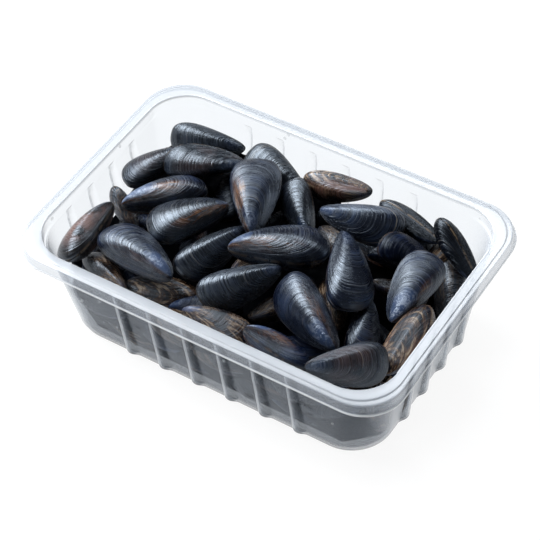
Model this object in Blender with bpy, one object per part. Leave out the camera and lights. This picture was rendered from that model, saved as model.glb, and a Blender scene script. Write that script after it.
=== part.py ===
"""A clear plastic tray heaped with raw blue mussels, shut in their shells.

Frame: the origin is the middle of the tray's flat underside, X runs along the tray's
length, Y across it and Z up. Lengths are in metres, or in millimetres where a name
or a heading says so. The mussels that show are one object each. Those below them,
seen through the walls and the gaps, are fused to a core as one object. The core fills
the tray behind the frosty walls, where the mussels lie too close to be told apart.
"""

import math
import random
from typing import NamedTuple

import bmesh
import bpy
import numpy as np
from mathutils import Matrix

MM = 0.001

# Tray: driving dimensions, in millimetres
TRAY_LENGTH = 265.0
TRAY_WIDTH = 180.0
TRAY_HEIGHT = 79.0
CORNER_RADIUS = 27.0
CORNER_STEPS = 6
WALK_END = 8.0
PLASTIC = 0.9
FLOOR_THICKNESS = 1.2

# Tray: distance from the flange's outer edge in to the wall's inner face
INSET_AT_RIM = 9.9
INSET_AT_FLOOR = 20.6

# Tray: upright ribs pressed outward in each wall, and the small ledge in each corner
RIBS_LONG_WALL = 6
RIBS_SHORT_WALL = 4
RIB_PITCH_LONG = 24.5
RIB_PITCH_SHORT = 22.5
RIB_SHIFT = 4.0
RIB_TOP = 70.3
RIB_FOOT = 6.5
RIB_DEPTH_TOP = 1.2
RIB_DEPTH_FOOT = 3.2
RIB_WIDTH_TOP = 7.0
RIB_WIDTH_FOOT = 9.0
LEDGE_DEPTH = 1.8
LEDGE_HEIGHT = 72.3

# Tray: sealing flange with a step line, and the skirt that hangs from it
STEP_INSET = 3.1
STEP_HEIGHT = 0.5
SKIRT_DROP = 7.3
LIP_FLARE = 1.3

# Mussel: rings along the shell from the beak, and steps round half a ring
SHELL_RINGS = (0.03, 0.11, 0.25, 0.41, 0.58, 0.75, 0.89, 0.97)
SHELL_STEPS = (0.62, 0.15, -0.35, -0.8)
BED_RINGS = (0.1, 0.38, 0.7, 0.94)
BED_STEPS = (0.5, -0.1, -0.65)
SHELL_BREADTH = 0.452
SHELL_LIFT = 0.03

# Settling: space kept between pieces and the moves that open it, in millimetres
PIECE_GAP = 0.5
LEAST_GAP = 0.32
WALL_GAP = 0.6
RIM_GAP = 1.0
FLOOR_ROUND = 4.5
NEAR_MARGIN = 5.0
SETTLE_ROUNDS = 80
SETTLED = 0.02
WALL_PUSHES = 8
SHRINK_STEP = 0.03
DIRECTIONS = 600

# Bed: a core, and mussels fused to it along the walls and under the gaps
CORE_CELLS = (13, 8)
CORE_TOP = 44.0
CORE_TOP_AT_WALL = 62.0
CORE_WALL_GAP = 1.6
CORE_CORNER_INSET = 8.5
CORE_FLOOR_GAP = 0.5
CORE_HEAP_GAP = 1.0
BED_INSET = 11.0
FACE_SPOTS = ((1, 0, 0), (0, 1, 0), (0, 0, 1), (0.5, 0.5, 0), (0, 0.5, 0.5), (0.34, 0.33, 0.33))
BED_GAP = 0.6
BED_SEED = 11
BED_TIERS = (13.0, 32.0, 50.0)
BED_TOP_TIER_WALLS = (0,)
BED_PITCH = 42.0
BED_LAYER_GRID = (6, 3)
BED_LAYER_HALF = (88.0, 40.0)
BED_LAYER_TOP = 45.0
BED_LENGTH = (40.0, 50.0)
BED_DROP = 1.5
BED_DROP_STEPS = 10
BED_SHRINK_STEPS = 5


class Place(NamedTuple):
    """Where one mussel lies: millimetres and degrees, at its length's middle."""

    x: float
    y: float
    z: float
    heading: float
    pitch: float
    roll: float
    length: float
    breadth: float
    fullness: float = 1.0


# The mussels that show, from the front of the heap's middle outward
HEAP = (
    Place(7, 2, 65, 20, 2, -4, 63, 34),
    Place(51, -30, 65, 146, 12, -30, 59, 30),
    Place(50, 6, 66, -64, -4, -18, 58, 31),
    Place(95, 17, 62, 76, 14, 28, 50, 28),
    Place(-53, -6, 66, -118, -4, 170, 53, 30, 1.06),
    Place(-34, 30, 65, 132, 10, 168, 56, 34),
    Place(-2, -29, 62, -130, 4, -32, 55, 26),
    Place(39, 49, 68, 22, 0, -148, 54, 26),
    Place(86, -50, 62, 46, 4, -144, 49, 27),
    Place(-66, -47, 65, 176, -2, 174, 60, 29, 0.95),
    Place(-78, 3, 66, 40, 0, -2, 55, 25),
    Place(-74, 40, 64, -142, -2, 128, 52, 23),
    Place(-36, -10, 55, -114, 2, -28, 53, 25),
    Place(106, -14, 55, 86, 18, -94, 52, 24),
    Place(-2, 45, 59, 130, 22, -24, 42, 23),
    Place(-104, 27, 60, -108, -4, 170, 46, 21, 0.95),
    Place(-86, 64, 62, -168, 8, -34, 50, 24, 0.9),
    Place(60, 62, 41, 40, 10, -128, 43, 20, 0.9),
    Place(9, 68, 64, -172, -2, -80, 47, 22, 0.85),
    Place(-33, 66, 59, 164, 18, -16, 46, 27, 0.95),
    Place(-104, -43, 63, -86, -4, -154, 51, 24, 0.9),
    Place(102, 58, 62, 158, 38, -86, 45, 20, 0.8),
    Place(105, 47, 36, 100, 42, 32, 45, 21, 0.9),
    Place(45, -62, 59, -8, -4, -38, 47, 21),
    Place(2, -59, 55, 14, -4, 180, 47, 21),
    Place(-49, -46, 41, 16, 0, -34, 49, 22, 0.95),
    Place(-85, -56, 47, 168, 2, -176, 40, 18, 0.9),
    Place(74, -14, 46, -76, -10, -26, 45, 23),
    Place(62, 67, 58, 172, 10, -90, 47, 19, 0.8),
    Place(-103, -8, 52, 152, 34, -78, 34, 16, 0.85),
    Place(108, -48, 29, 148, 86, -102, 41, 17, 0.9),
    Place(25, 40, 43, -26, -6, 42, 37, 17),
    Place(77, 29, 42, 20, -4, -120, 37, 17),
    Place(18, -21, 43, 72, -6, -122, 41, 18),
)


def clear_scene():
    """Remove every object, so that the script starts from an empty scene."""
    for old in list(bpy.data.objects):
        bpy.data.objects.remove(old, do_unlink=True)


def make_material(name, colour, roughness, alpha=1.0):
    """Return a new Principled material.

    Args:
        name: The material's name.
        colour: Linear red, green and blue.
        roughness: From 0 for a mirror to 1 for chalk.
        alpha: How much of the surface covers what is behind it.
    """
    material = bpy.data.materials.new(name)
    material.use_nodes = True
    shader = material.node_tree.nodes["Principled BSDF"]
    shader.inputs["Base Color"].default_value = (*colour, 1.0)
    shader.inputs["Roughness"].default_value = roughness
    shader.inputs["Metallic"].default_value = 0.0
    shader.inputs["Alpha"].default_value = alpha
    return material


def add_object(name, points, faces, material, smooth_angle):
    """Add one object from points in millimetres, with its faces turned out."""
    mesh = bpy.data.meshes.new(name)
    mesh.from_pydata([tuple(np.asarray(p) * MM) for p in points], [], faces)
    shape = bmesh.new()
    shape.from_mesh(mesh)
    bmesh.ops.recalc_face_normals(shape, faces=shape.faces)
    shape.to_mesh(mesh)
    shape.free()
    mesh.shade_smooth()
    mesh.set_sharp_from_angle(angle=math.radians(smooth_angle))
    mesh.materials.append(material)
    added = bpy.data.objects.new(name, mesh)
    bpy.context.collection.objects.link(added)
    return added


# Tray


class Ring(NamedTuple):
    """One level of the tray's wall, in millimetres.

    Attributes:
        inset: Distance in from the flange's outer edge.
        z: Height above the base.
        rib_depth: How far the ribs stand out, or 0 for a plain ring.
        rib_width: Width of each rib.
        ledge: How far each corner stands out.
    """

    inset: float
    z: float
    rib_depth: float = 0.0
    rib_width: float = 0.0
    ledge: float = 0.0


def wall_inset(z):
    """Return the inset of the wall's inner face at a height above the base."""
    depth = (TRAY_HEIGHT - z) / TRAY_HEIGHT
    return INSET_AT_RIM + (INSET_AT_FLOOR - INSET_AT_RIM) * depth


def rib_points(count, pitch, ring):
    """Return (place along the wall, distance out) for the half-round ribs of a wall."""
    points = []
    for index in range(count):
        middle = (index - (count - 1) / 2) * pitch + RIB_SHIFT
        for turn in (-90, -40, 0, 40, 90):
            angle = math.radians(turn)
            along = middle + math.sin(angle) * ring.rib_width / 2
            points.append((along, math.cos(angle) * ring.rib_depth))
    return points


def ring_points(ring):
    """Walk once round a ring, counter-clockwise from the front wall's left end.

    Returns:
        A list of (station, point). The station grows round the ring and is the same
        for like places of any two rings, so that they can be stitched.
    """
    half_x = TRAY_LENGTH / 2 - ring.inset - CORNER_RADIUS
    half_y = TRAY_WIDTH / 2 - ring.inset - CORNER_RADIUS
    walls = (
        (half_x, half_y, RIBS_LONG_WALL, RIB_PITCH_LONG),
        (half_y, half_x, RIBS_SHORT_WALL, RIB_PITCH_SHORT),
    )
    stations = []
    for side in range(4):
        half, reach, ribs, pitch = walls[side % 2]
        turn = np.array(Matrix.Rotation(math.radians(90 * side), 2))
        straight = [(-half, 0.0), (half, 0.0)]
        if ring.rib_depth > 0:
            straight[1:1] = rib_points(ribs, pitch, ring)
        for along, out in straight:
            x, y = turn @ (along, -reach - CORNER_RADIUS - out)
            stations.append((2 * side + (along + half) / (2 * half), (x, y, ring.z)))
        for step in range(1, CORNER_STEPS):
            share = step / CORNER_STEPS
            angle = math.radians(90 * share - 90)
            radius = CORNER_RADIUS + ring.ledge * math.sin(math.pi * share) ** 0.5
            x, y = turn @ (half + radius * math.cos(angle), radius * math.sin(angle) - reach)
            stations.append((2 * side + 1 + share, (x, y, ring.z)))
    return stations


def stitch(lower, upper, start_lower, start_upper):
    """Return triangles that join two closed rings.

    Rings of the same kind are joined point by point. A plain ring and a ribbed one
    are walked together, and the one whose next station comes first steps on.
    """
    faces = []
    i = j = 0
    alike = len(lower) == len(upper)
    while i < len(lower) or j < len(upper):
        next_lower = lower[i + 1][0] if i + 1 < len(lower) else WALK_END
        next_upper = upper[j + 1][0] if j + 1 < len(upper) else WALK_END
        behind = i <= j if alike else next_lower <= next_upper
        a = start_lower + i % len(lower)
        b = start_upper + j % len(upper)
        if j >= len(upper) or (i < len(lower) and behind):
            faces.append((a, start_lower + (i + 1) % len(lower), b))
            i += 1
        else:
            faces.append((a, start_upper + (j + 1) % len(upper), b))
            j += 1
    return faces


def tray_rings():
    """Return the tray's rings, from the inner floor over the rim to the base."""
    edge = 0.5
    skin = PLASTIC
    skirt_foot = TRAY_HEIGHT - SKIRT_DROP
    under = TRAY_HEIGHT - STEP_HEIGHT - skin
    return (
        Ring(INSET_AT_FLOOR + 3.4, FLOOR_THICKNESS),
        Ring(INSET_AT_FLOOR + 0.6, FLOOR_THICKNESS + 1.4),
        Ring(wall_inset(RIB_FOOT), RIB_FOOT, RIB_DEPTH_FOOT, RIB_WIDTH_FOOT),
        Ring(wall_inset(RIB_TOP), RIB_TOP, RIB_DEPTH_TOP, RIB_WIDTH_TOP),
        Ring(wall_inset(LEDGE_HEIGHT - 0.7), LEDGE_HEIGHT - 0.7),
        Ring(wall_inset(LEDGE_HEIGHT), LEDGE_HEIGHT, ledge=LEDGE_DEPTH),
        Ring(wall_inset(TRAY_HEIGHT - 1.8), TRAY_HEIGHT - 1.8, ledge=LEDGE_DEPTH - 0.7),
        Ring(INSET_AT_RIM - 0.8, TRAY_HEIGHT - 0.3),
        Ring(INSET_AT_RIM - 1.5, TRAY_HEIGHT),
        Ring(STEP_INSET + edge, TRAY_HEIGHT),
        Ring(STEP_INSET, TRAY_HEIGHT - STEP_HEIGHT),
        Ring(0.9, TRAY_HEIGHT - STEP_HEIGHT),
        Ring(0.0, TRAY_HEIGHT - STEP_HEIGHT - 0.9),
        Ring(-0.2, skirt_foot + 2.1),
        Ring(-LIP_FLARE, skirt_foot + 1.2),
        Ring(-LIP_FLARE, skirt_foot),
        Ring(skin - LIP_FLARE, skirt_foot),
        Ring(skin - 0.2, skirt_foot + 2.4),
        Ring(skin + 0.4, under),
        Ring(INSET_AT_RIM - skin - 0.6, under, ledge=LEDGE_DEPTH - 0.7),
        Ring(wall_inset(LEDGE_HEIGHT) - skin, LEDGE_HEIGHT - skin, ledge=LEDGE_DEPTH),
        Ring(wall_inset(LEDGE_HEIGHT) - skin + 0.2, LEDGE_HEIGHT - 1.6),
        Ring(wall_inset(RIB_TOP) - skin, RIB_TOP - 0.8, RIB_DEPTH_TOP, RIB_WIDTH_TOP),
        Ring(wall_inset(RIB_FOOT) - skin, RIB_FOOT - 0.7, RIB_DEPTH_FOOT, RIB_WIDTH_FOOT),
        Ring(INSET_AT_FLOOR - 0.2, 1.0),
        Ring(INSET_AT_FLOOR + 1.9, 0.0),
    )


def build_tray():
    """Add the tray: one thin skin, stitched ring by ring and closed at the floor."""
    points = []
    faces = []
    previous = None
    for ring in tray_rings():
        current = ring_points(ring)
        start = len(points)
        points.extend(point for _, point in current)
        if previous is None:
            faces.append(tuple(range(start, len(points))))
        else:
            faces.extend(stitch(previous[0], current, previous[1], start))
        previous = (current, start)
    faces.append(tuple(reversed(range(previous[1], len(points)))))
    plastic = make_material("clear_plastic", (0.72, 0.78, 0.82), 0.28, alpha=0.35)
    return add_object("tray", points, faces, plastic, smooth_angle=35)


# Mussel


def back_edge(t):
    """Return the height of the shell's back above its middle line, t from the beak."""
    return 0.385 * t**0.51 * (1 - t**4.5) ** 0.5


def front_edge(t):
    """Return the depth of the shell's front below its middle line."""
    return 0.210 * t**0.46 * (1 - t**4.5) ** 0.5


def half_thickness(t):
    """Return the greatest half thickness of the shut shell at t."""
    return 0.355 * t**0.47 * (1 - t**2.05) ** 0.6


def middle_line(t):
    """Return the height of the line that curves from the beak to the round end."""
    return SHELL_LIFT - 0.06 * (1 - t) ** 2


def section(height, fullest=-0.3):
    """Return the share of the half thickness at a height from -1 to 1."""
    if height >= fullest:
        share = (height - fullest) / (1 - fullest)
        return (1 - share**1.9) ** 0.85
    share = (fullest - height) / (1 + fullest)
    return (1 - share**2.6) ** 0.6


def shell_shape(rings, steps):
    """Return points and triangles of a shut mussel of length 1, its beak at x = 0."""
    points = [(0.0, middle_line(0), 0.0)]
    for t in rings:
        top = middle_line(t) + back_edge(t)
        foot = middle_line(t) - front_edge(t)
        centre = (top + foot) / 2
        half = (top - foot) / 2
        right = [(t, centre + v * half, half_thickness(t) * section(v)) for v in steps]
        left = [(x, y, -z) for x, y, z in reversed(right)]
        points.extend([(t, top, 0.0), *right, (t, foot, 0.0), *left])
    points.append((1.0, middle_line(1), 0.0))
    size = 2 * len(steps) + 2
    last = len(points) - 1
    faces = []
    for k in range(size):
        following = (k + 1) % size
        faces.append((0, 1 + following, 1 + k))
        faces.append((last, last - size + k, last - size + following))
        for ring in range(len(rings) - 1):
            a = 1 + ring * size
            b = a + size
            faces.append((a + k, a + following, b + following))
            faces.append((a + k, b + following, b + k))
    return np.array(points), np.array(faces)


class Mussel:
    """One mussel in its place: a shape, a turn, a size and a centre.

    Attributes:
        centre: Middle of its length, in millimetres.
        points: Its corners about that centre, turned and sized.
        faces: Its triangles.
    """

    def __init__(self, place, shape):
        """Turn and size a shell shape for a place."""
        unit, self.faces = shape
        turn = Matrix.Rotation(math.radians(place.heading), 3, "Z")
        turn = turn @ Matrix.Rotation(math.radians(-place.pitch), 3, "Y")
        turn = turn @ Matrix.Rotation(math.radians(place.roll), 3, "X")
        breadth = place.breadth / (place.length * SHELL_BREADTH)
        size = place.length * np.array([1.0, breadth, place.fullness])
        self.points = ((unit - (0.5, 0, 0)) * size) @ np.array(turn).T
        self.centre = np.array([place.x, place.y, place.z], dtype=float)

    def world(self):
        """Return its corners in the tray's frame."""
        return self.points + self.centre

    def reach(self):
        """Return the greatest distance of a corner from the centre."""
        return float(np.linalg.norm(self.points, axis=1).max())

    def facings(self):
        """Return the outward directions of its triangles."""
        a, b, c = (self.points[self.faces[:, k]] for k in range(3))
        normal = np.cross(b - a, c - a)
        return normal / np.linalg.norm(normal, axis=1)[:, None]

    def shrink(self, share):
        """Make it smaller about its centre by a share of its size."""
        self.points = self.points * (1 - share)


def even_directions(count):
    """Return directions spread evenly over a sphere."""
    index = np.arange(count) + 0.5
    tilt = np.arccos(1 - 2 * index / count)
    turn = math.pi * (1 + 5**0.5) * index
    return np.stack([np.cos(turn) * np.sin(tilt), np.sin(turn) * np.sin(tilt), np.cos(tilt)], 1)


SPREAD = even_directions(DIRECTIONS)


def gap_between(first, second):
    """Return the widest gap between two mussels, and the direction it opens along.

    The gap is below 0 where they cross, and the direction then is the shortest way
    to push the second off the first.
    """
    trial = np.concatenate([SPREAD, first.facings(), -second.facings()])
    near = (second.world() @ trial.T).min(0)
    far = (first.world() @ trial.T).max(0)
    best = int((near - far).argmax())
    return float((near - far)[best]), trial[best]


def wall_push(points):
    """Return the move that brings points back inside the tray, 0 where they are inside."""
    inset = wall_inset(points[:, 2]) + WALL_GAP + np.maximum(FLOOR_ROUND - points[:, 2], 0)
    straight = np.stack([TRAY_LENGTH / 2 - inset, TRAY_WIDTH / 2 - inset], 1) - CORNER_RADIUS
    outside = np.maximum(np.abs(points[:, :2]) - straight, 0)
    distance = np.linalg.norm(outside, axis=1) - CORNER_RADIUS
    push = np.zeros(3)
    worst = int(distance.argmax())
    if distance[worst] > 0:
        away = outside[worst] / np.linalg.norm(outside[worst])
        push[:2] = -np.sign(points[worst, :2]) * away * distance[worst]
    push[2] += max(0.0, FLOOR_THICKNESS + WALL_GAP - points[:, 2].min())
    push[2] -= max(0.0, points[:, 2].max() - (TRAY_HEIGHT - RIM_GAP))
    return push


def bring_inside(mussel):
    """Move a mussel in from the walls, floor and rim, a few times over."""
    for _ in range(WALL_PUSHES):
        push = wall_push(mussel.world())
        if not push.any():
            break
        mussel.centre += push


def settle(mussels):
    """Move the heap's mussels apart and in from the walls until they only just touch."""
    pairs = [
        (a, b)
        for index, a in enumerate(mussels)
        for b in mussels[index + 1 :]
        if np.linalg.norm(a.centre - b.centre) < a.reach() + b.reach() + NEAR_MARGIN
    ]
    for _ in range(SETTLE_ROUNDS):
        moved = 0.0
        for first, second in pairs:
            gap, way = gap_between(first, second)
            if gap < PIECE_GAP:
                first.centre -= way * (PIECE_GAP - gap) / 2
                second.centre += way * (PIECE_GAP - gap) / 2
                moved = max(moved, PIECE_GAP - gap)
        for mussel in mussels:
            bring_inside(mussel)
        if moved < SETTLED:
            break
    for first, second in pairs:
        while gap_between(first, second)[0] < LEAST_GAP:
            smaller = min(first, second, key=Mussel.reach)
            smaller.shrink(SHRINK_STEP)


# Bed


def layer_rows(draw):
    """Return places for the bed's top layer, an uneven grid under the heap."""
    rows = []
    for i in range(BED_LAYER_GRID[0]):
        for j in range(BED_LAYER_GRID[1]):
            x = BED_LAYER_HALF[0] * (2 * i / (BED_LAYER_GRID[0] - 1) - 1) + draw.uniform(-5, 5)
            y = BED_LAYER_HALF[1] * (2 * j / (BED_LAYER_GRID[1] - 1) - 1) + draw.uniform(-5, 5)
            length = draw.uniform(*BED_LENGTH)
            heading = draw.uniform(0, 360)
            pitch = draw.uniform(-8, 8)
            roll = draw.choice((0, 180)) + draw.uniform(-35, 35)
            breadth = SHELL_BREADTH * length
            rows.append(Place(x, y, BED_LAYER_TOP, heading, pitch, roll, length, breadth))
    return rows


def edge_rows(draw):
    """Return places for the bed's mussels along the four walls, tier by tier."""
    rows = []
    for tier, z in enumerate(BED_TIERS):
        inset = wall_inset(z) + BED_INSET
        half_x = TRAY_LENGTH / 2 - inset
        half_y = TRAY_WIDTH / 2 - inset
        path = 4 * (half_x + half_y)
        count = round(path / BED_PITCH)
        for index in range(count):
            along = (index + 0.5 * tier) * path / count
            for side in range(4):
                run, reach = ((half_x, half_y), (half_y, half_x))[side % 2]
                if along <= 2 * run:
                    break
                along -= 2 * run
            if z == BED_TIERS[-1] and side not in BED_TOP_TIER_WALLS:
                continue
            turn = np.array(Matrix.Rotation(math.radians(90 * side), 2))
            x, y = turn @ (along - run, -reach)
            heading = 90 * side + draw.choice((0, 180)) + draw.uniform(-25, 25)
            roll = draw.choice((70, 110, -70, -110)) + draw.uniform(-15, 15)
            length = draw.uniform(*BED_LENGTH)
            lift = z + draw.uniform(-2, 2)
            pitch = draw.uniform(-14, 14)
            breadth = SHELL_BREADTH * length
            rows.append(Place(x, y, lift, heading, pitch, roll, length, breadth))
    return rows


def fits(candidate, heap):
    """Tell whether a bed mussel is clear of the walls and of every mussel above it."""
    if np.abs(wall_push(candidate.world())).max() > 0.01:
        return False
    for other in heap:
        if np.linalg.norm(other.centre - candidate.centre) > other.reach() + candidate.reach():
            continue
        if gap_between(candidate, other)[0] < BED_GAP:
            return False
    return True


def lay_bed(heap):
    """Return the bed's mussels, each lowered and shrunk until it is clear of the heap."""
    shape = shell_shape(BED_RINGS, BED_STEPS)
    draw = random.Random(BED_SEED)
    laid = []
    for place in layer_rows(draw) + edge_rows(draw):
        for shrink in range(BED_SHRINK_STEPS):
            candidate = Mussel(place, shape)
            candidate.shrink(shrink * 2 * SHRINK_STEP)
            for _ in range(BED_DROP_STEPS):
                bring_inside(candidate)
                if fits(candidate, heap):
                    break
                candidate.centre[2] -= BED_DROP
            if fits(candidate, heap):
                laid.append(candidate)
                break
    return laid


def heap_underside(heap, x, y, reach):
    """Return the height of the heap's lowest point within reach of a place."""
    lowest = CORE_TOP_AT_WALL
    for mussel in heap:
        corners = mussel.world()[mussel.faces]
        for share in FACE_SPOTS:
            spots = np.einsum("nkc,k->nc", corners, np.array(share))
            near = (np.abs(spots[:, 0] - x) < reach[0]) & (np.abs(spots[:, 1] - y) < reach[1])
            if near.any():
                lowest = min(lowest, float(spots[near, 2].min()))
    return lowest


def core_place(i, j, z):
    """Return a grid place of the core: spread to the sloping walls at the height z."""
    inset = wall_inset(z) + CORE_WALL_GAP + max(FLOOR_ROUND - z, 0)
    cells_x, cells_y = CORE_CELLS
    across = 2 * i / cells_x - 1
    deep = 2 * j / cells_y - 1
    corner = CORE_CORNER_INSET if abs(across) == 1 and abs(deep) == 1 else 0.0
    return (
        across * (TRAY_LENGTH / 2 - inset - corner),
        deep * (TRAY_WIDTH / 2 - inset - corner),
        z,
    )


def core_shape(heap):
    """Return points and faces of the core: it fills the tray to just below the heap."""
    cells_x, cells_y = CORE_CELLS
    foot = FLOOR_THICKNESS + CORE_FLOOR_GAP
    step = (TRAY_LENGTH / cells_x, TRAY_WIDTH / cells_y)
    top = {}
    points = []
    for i in range(cells_x + 1):
        for j in range(cells_y + 1):
            x, y, _ = core_place(i, j, CORE_TOP)
            at_wall = i in (0, cells_x) or j in (0, cells_y)
            under = heap_underside(heap, x, y, step) - CORE_HEAP_GAP
            height = min(under, CORE_TOP_AT_WALL if at_wall else CORE_TOP)
            top[i, j] = len(points)
            points.append(core_place(i, j, height))
    faces = []
    for i in range(cells_x):
        for j in range(cells_y):
            a, b, c, d = top[i, j], top[i + 1, j], top[i + 1, j + 1], top[i, j + 1]
            faces.extend([(a, b, c), (a, c, d)])
    rim = [(i, 0) for i in range(cells_x)]
    rim += [(cells_x, j) for j in range(cells_y)]
    rim += [(i, cells_y) for i in range(cells_x, 0, -1)]
    rim += [(0, j) for j in range(cells_y, 0, -1)]
    start = len(points)
    points.extend(core_place(*key, foot) for key in rim)
    for k, key in enumerate(rim):
        after = (k + 1) % len(rim)
        faces.append((start + k, start + after, top[rim[after]], top[key]))
    faces.append(tuple(reversed(range(start, len(points)))))
    return points, faces


def keep_outer_skin(mesh):
    """Remove sealed hollows and loose scraps: every shell of a mesh but the widest."""
    shape = bmesh.new()
    shape.from_mesh(mesh)
    shells = []
    left = set(shape.verts)
    while left:
        shell = {left.pop()}
        edge = list(shell)
        while edge:
            vert = edge.pop()
            near = {link.other_vert(vert) for link in vert.link_edges} - shell
            shell |= near
            edge.extend(near)
        left -= shell
        shells.append(shell)
    widest = max(shells, key=lambda shell: max(v.co.x for v in shell) - min(v.co.x for v in shell))
    loose = [vert for vert in shape.verts if vert not in widest]
    bmesh.ops.delete(shape, geom=loose, context="VERTS")
    shape.to_mesh(mesh)
    shape.free()


def build_bed(heap):
    """Add the bed: the core and its mussels, joined into one closed solid."""
    dark = make_material("mussel_bed_shell", (0.018, 0.022, 0.030), 0.4)
    points, faces = core_shape(heap)
    bed = add_object("mussel_bed", points, faces, dark, smooth_angle=40)
    pieces = bpy.data.collections.new("bed_pieces")
    bpy.context.scene.collection.children.link(pieces)
    for index, mussel in enumerate(lay_bed(heap)):
        piece = add_object(f"bed_piece_{index:02d}", mussel.world(), mussel.faces.tolist(), dark, 40)
        bpy.context.collection.objects.unlink(piece)
        pieces.objects.link(piece)
    join = bed.modifiers.new("join", "BOOLEAN")
    join.operation = "UNION"
    join.operand_type = "COLLECTION"
    join.collection = pieces
    join.solver = "EXACT"
    joined = bpy.data.meshes.new_from_object(bed.evaluated_get(bpy.context.evaluated_depsgraph_get()))
    bed.modifiers.clear()
    keep_outer_skin(joined)
    bed.data = joined
    for piece in list(pieces.objects):
        bpy.data.objects.remove(piece, do_unlink=True)
    bpy.data.collections.remove(pieces)
    return bed


def build_heap():
    """Add the mussels that show, and return them as settled."""
    shape = shell_shape(SHELL_RINGS, SHELL_STEPS)
    heap = [Mussel(place, shape) for place in HEAP]
    settle(heap)
    for index, mussel in enumerate(heap):
        shade = 0.016 + 0.004 * math.sin(2.4 * index)
        material = make_material(f"mussel_shell_{index + 1:02d}", (shade, shade * 1.15, shade * 1.6), 0.3)
        add_object(f"mussel_{index + 1:02d}", mussel.world(), mussel.faces.tolist(), material, 40)
    return heap


def main():
    """Build the tray, the heap and the bed below it."""
    clear_scene()
    build_tray()
    build_bed(build_heap())


main()
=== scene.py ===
"""A clear plastic tray heaped with raw blue mussels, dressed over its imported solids.

Lengths are metres, or millimetres where a name or a docstring says so. Every mussel that
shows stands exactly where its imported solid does. The scene keeps only how each one is
turned, and reads its size and middle from the solid.
"""
import logging
import math
import random
from dataclasses import dataclass, field
from enum import Enum
from typing import NamedTuple

import bmesh
import bpy
import numpy as np
from mathutils import Matrix, Vector


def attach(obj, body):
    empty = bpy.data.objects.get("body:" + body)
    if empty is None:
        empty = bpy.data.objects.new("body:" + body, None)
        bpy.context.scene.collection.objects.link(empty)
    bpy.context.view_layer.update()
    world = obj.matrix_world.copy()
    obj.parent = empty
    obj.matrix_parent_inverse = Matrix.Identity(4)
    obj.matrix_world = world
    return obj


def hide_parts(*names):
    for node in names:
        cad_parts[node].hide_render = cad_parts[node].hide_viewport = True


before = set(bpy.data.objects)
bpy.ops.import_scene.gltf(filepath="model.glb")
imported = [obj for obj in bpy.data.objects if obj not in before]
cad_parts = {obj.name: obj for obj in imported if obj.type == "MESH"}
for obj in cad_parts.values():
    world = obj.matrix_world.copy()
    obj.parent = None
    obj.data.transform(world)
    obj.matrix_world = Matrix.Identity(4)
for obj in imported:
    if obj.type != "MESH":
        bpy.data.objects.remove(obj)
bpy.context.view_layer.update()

MM = 0.001
BODY = "root"
MERGE = 1e-6
log = logging.getLogger("mussel_tray")

Colour = tuple[float, float, float]


# Shader graph


class Wire:
    """One number in a shader graph. Arithmetic on it adds Math nodes."""

    def __init__(self, graph: "Graph", socket: bpy.types.NodeSocket | None) -> None:
        """Wrap an output socket.

        Args:
            graph: The graph that the socket is in.
            socket: The output socket, or None after a node that has none.
        """
        self.graph = graph
        self.socket = socket

    def __add__(self, other: "Wire | float") -> "Wire":
        """Return the sum."""
        return self.graph.math("ADD", self, other)

    __radd__ = __add__

    def __mul__(self, other: "Wire | float") -> "Wire":
        """Return the product."""
        return self.graph.math("MULTIPLY", self, other)

    __rmul__ = __mul__

    def __sub__(self, other: "Wire | float") -> "Wire":
        """Return this less the other."""
        return self.graph.math("SUBTRACT", self, other)

    def __rsub__(self, other: "Wire | float") -> "Wire":
        """Return the other less this."""
        return self.graph.math("SUBTRACT", other, self)

    def __pow__(self, other: "Wire | float") -> "Wire":
        """Return this to a power."""
        return self.graph.math("POWER", self, other)

    def step(self, low: float, high: float) -> "Wire":
        """Ease from 0 to 1 between two values.

        Args:
            low: Where the result is 0.
            high: Where the result is 1. It may be the lesser of the two.

        Returns:
            The eased number.
        """
        settings = {"interpolation_type": "SMOOTHSTEP"}
        ends = (low, high, 0.0, 1.0) if low < high else (high, low, 1.0, 0.0)
        names = ("From Min", "From Max", "To Min", "To Max")
        inputs = {"Value": self, **dict(zip(names, ends))}
        return self.graph.add("ShaderNodeMapRange", settings, inputs, "Result")


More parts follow.
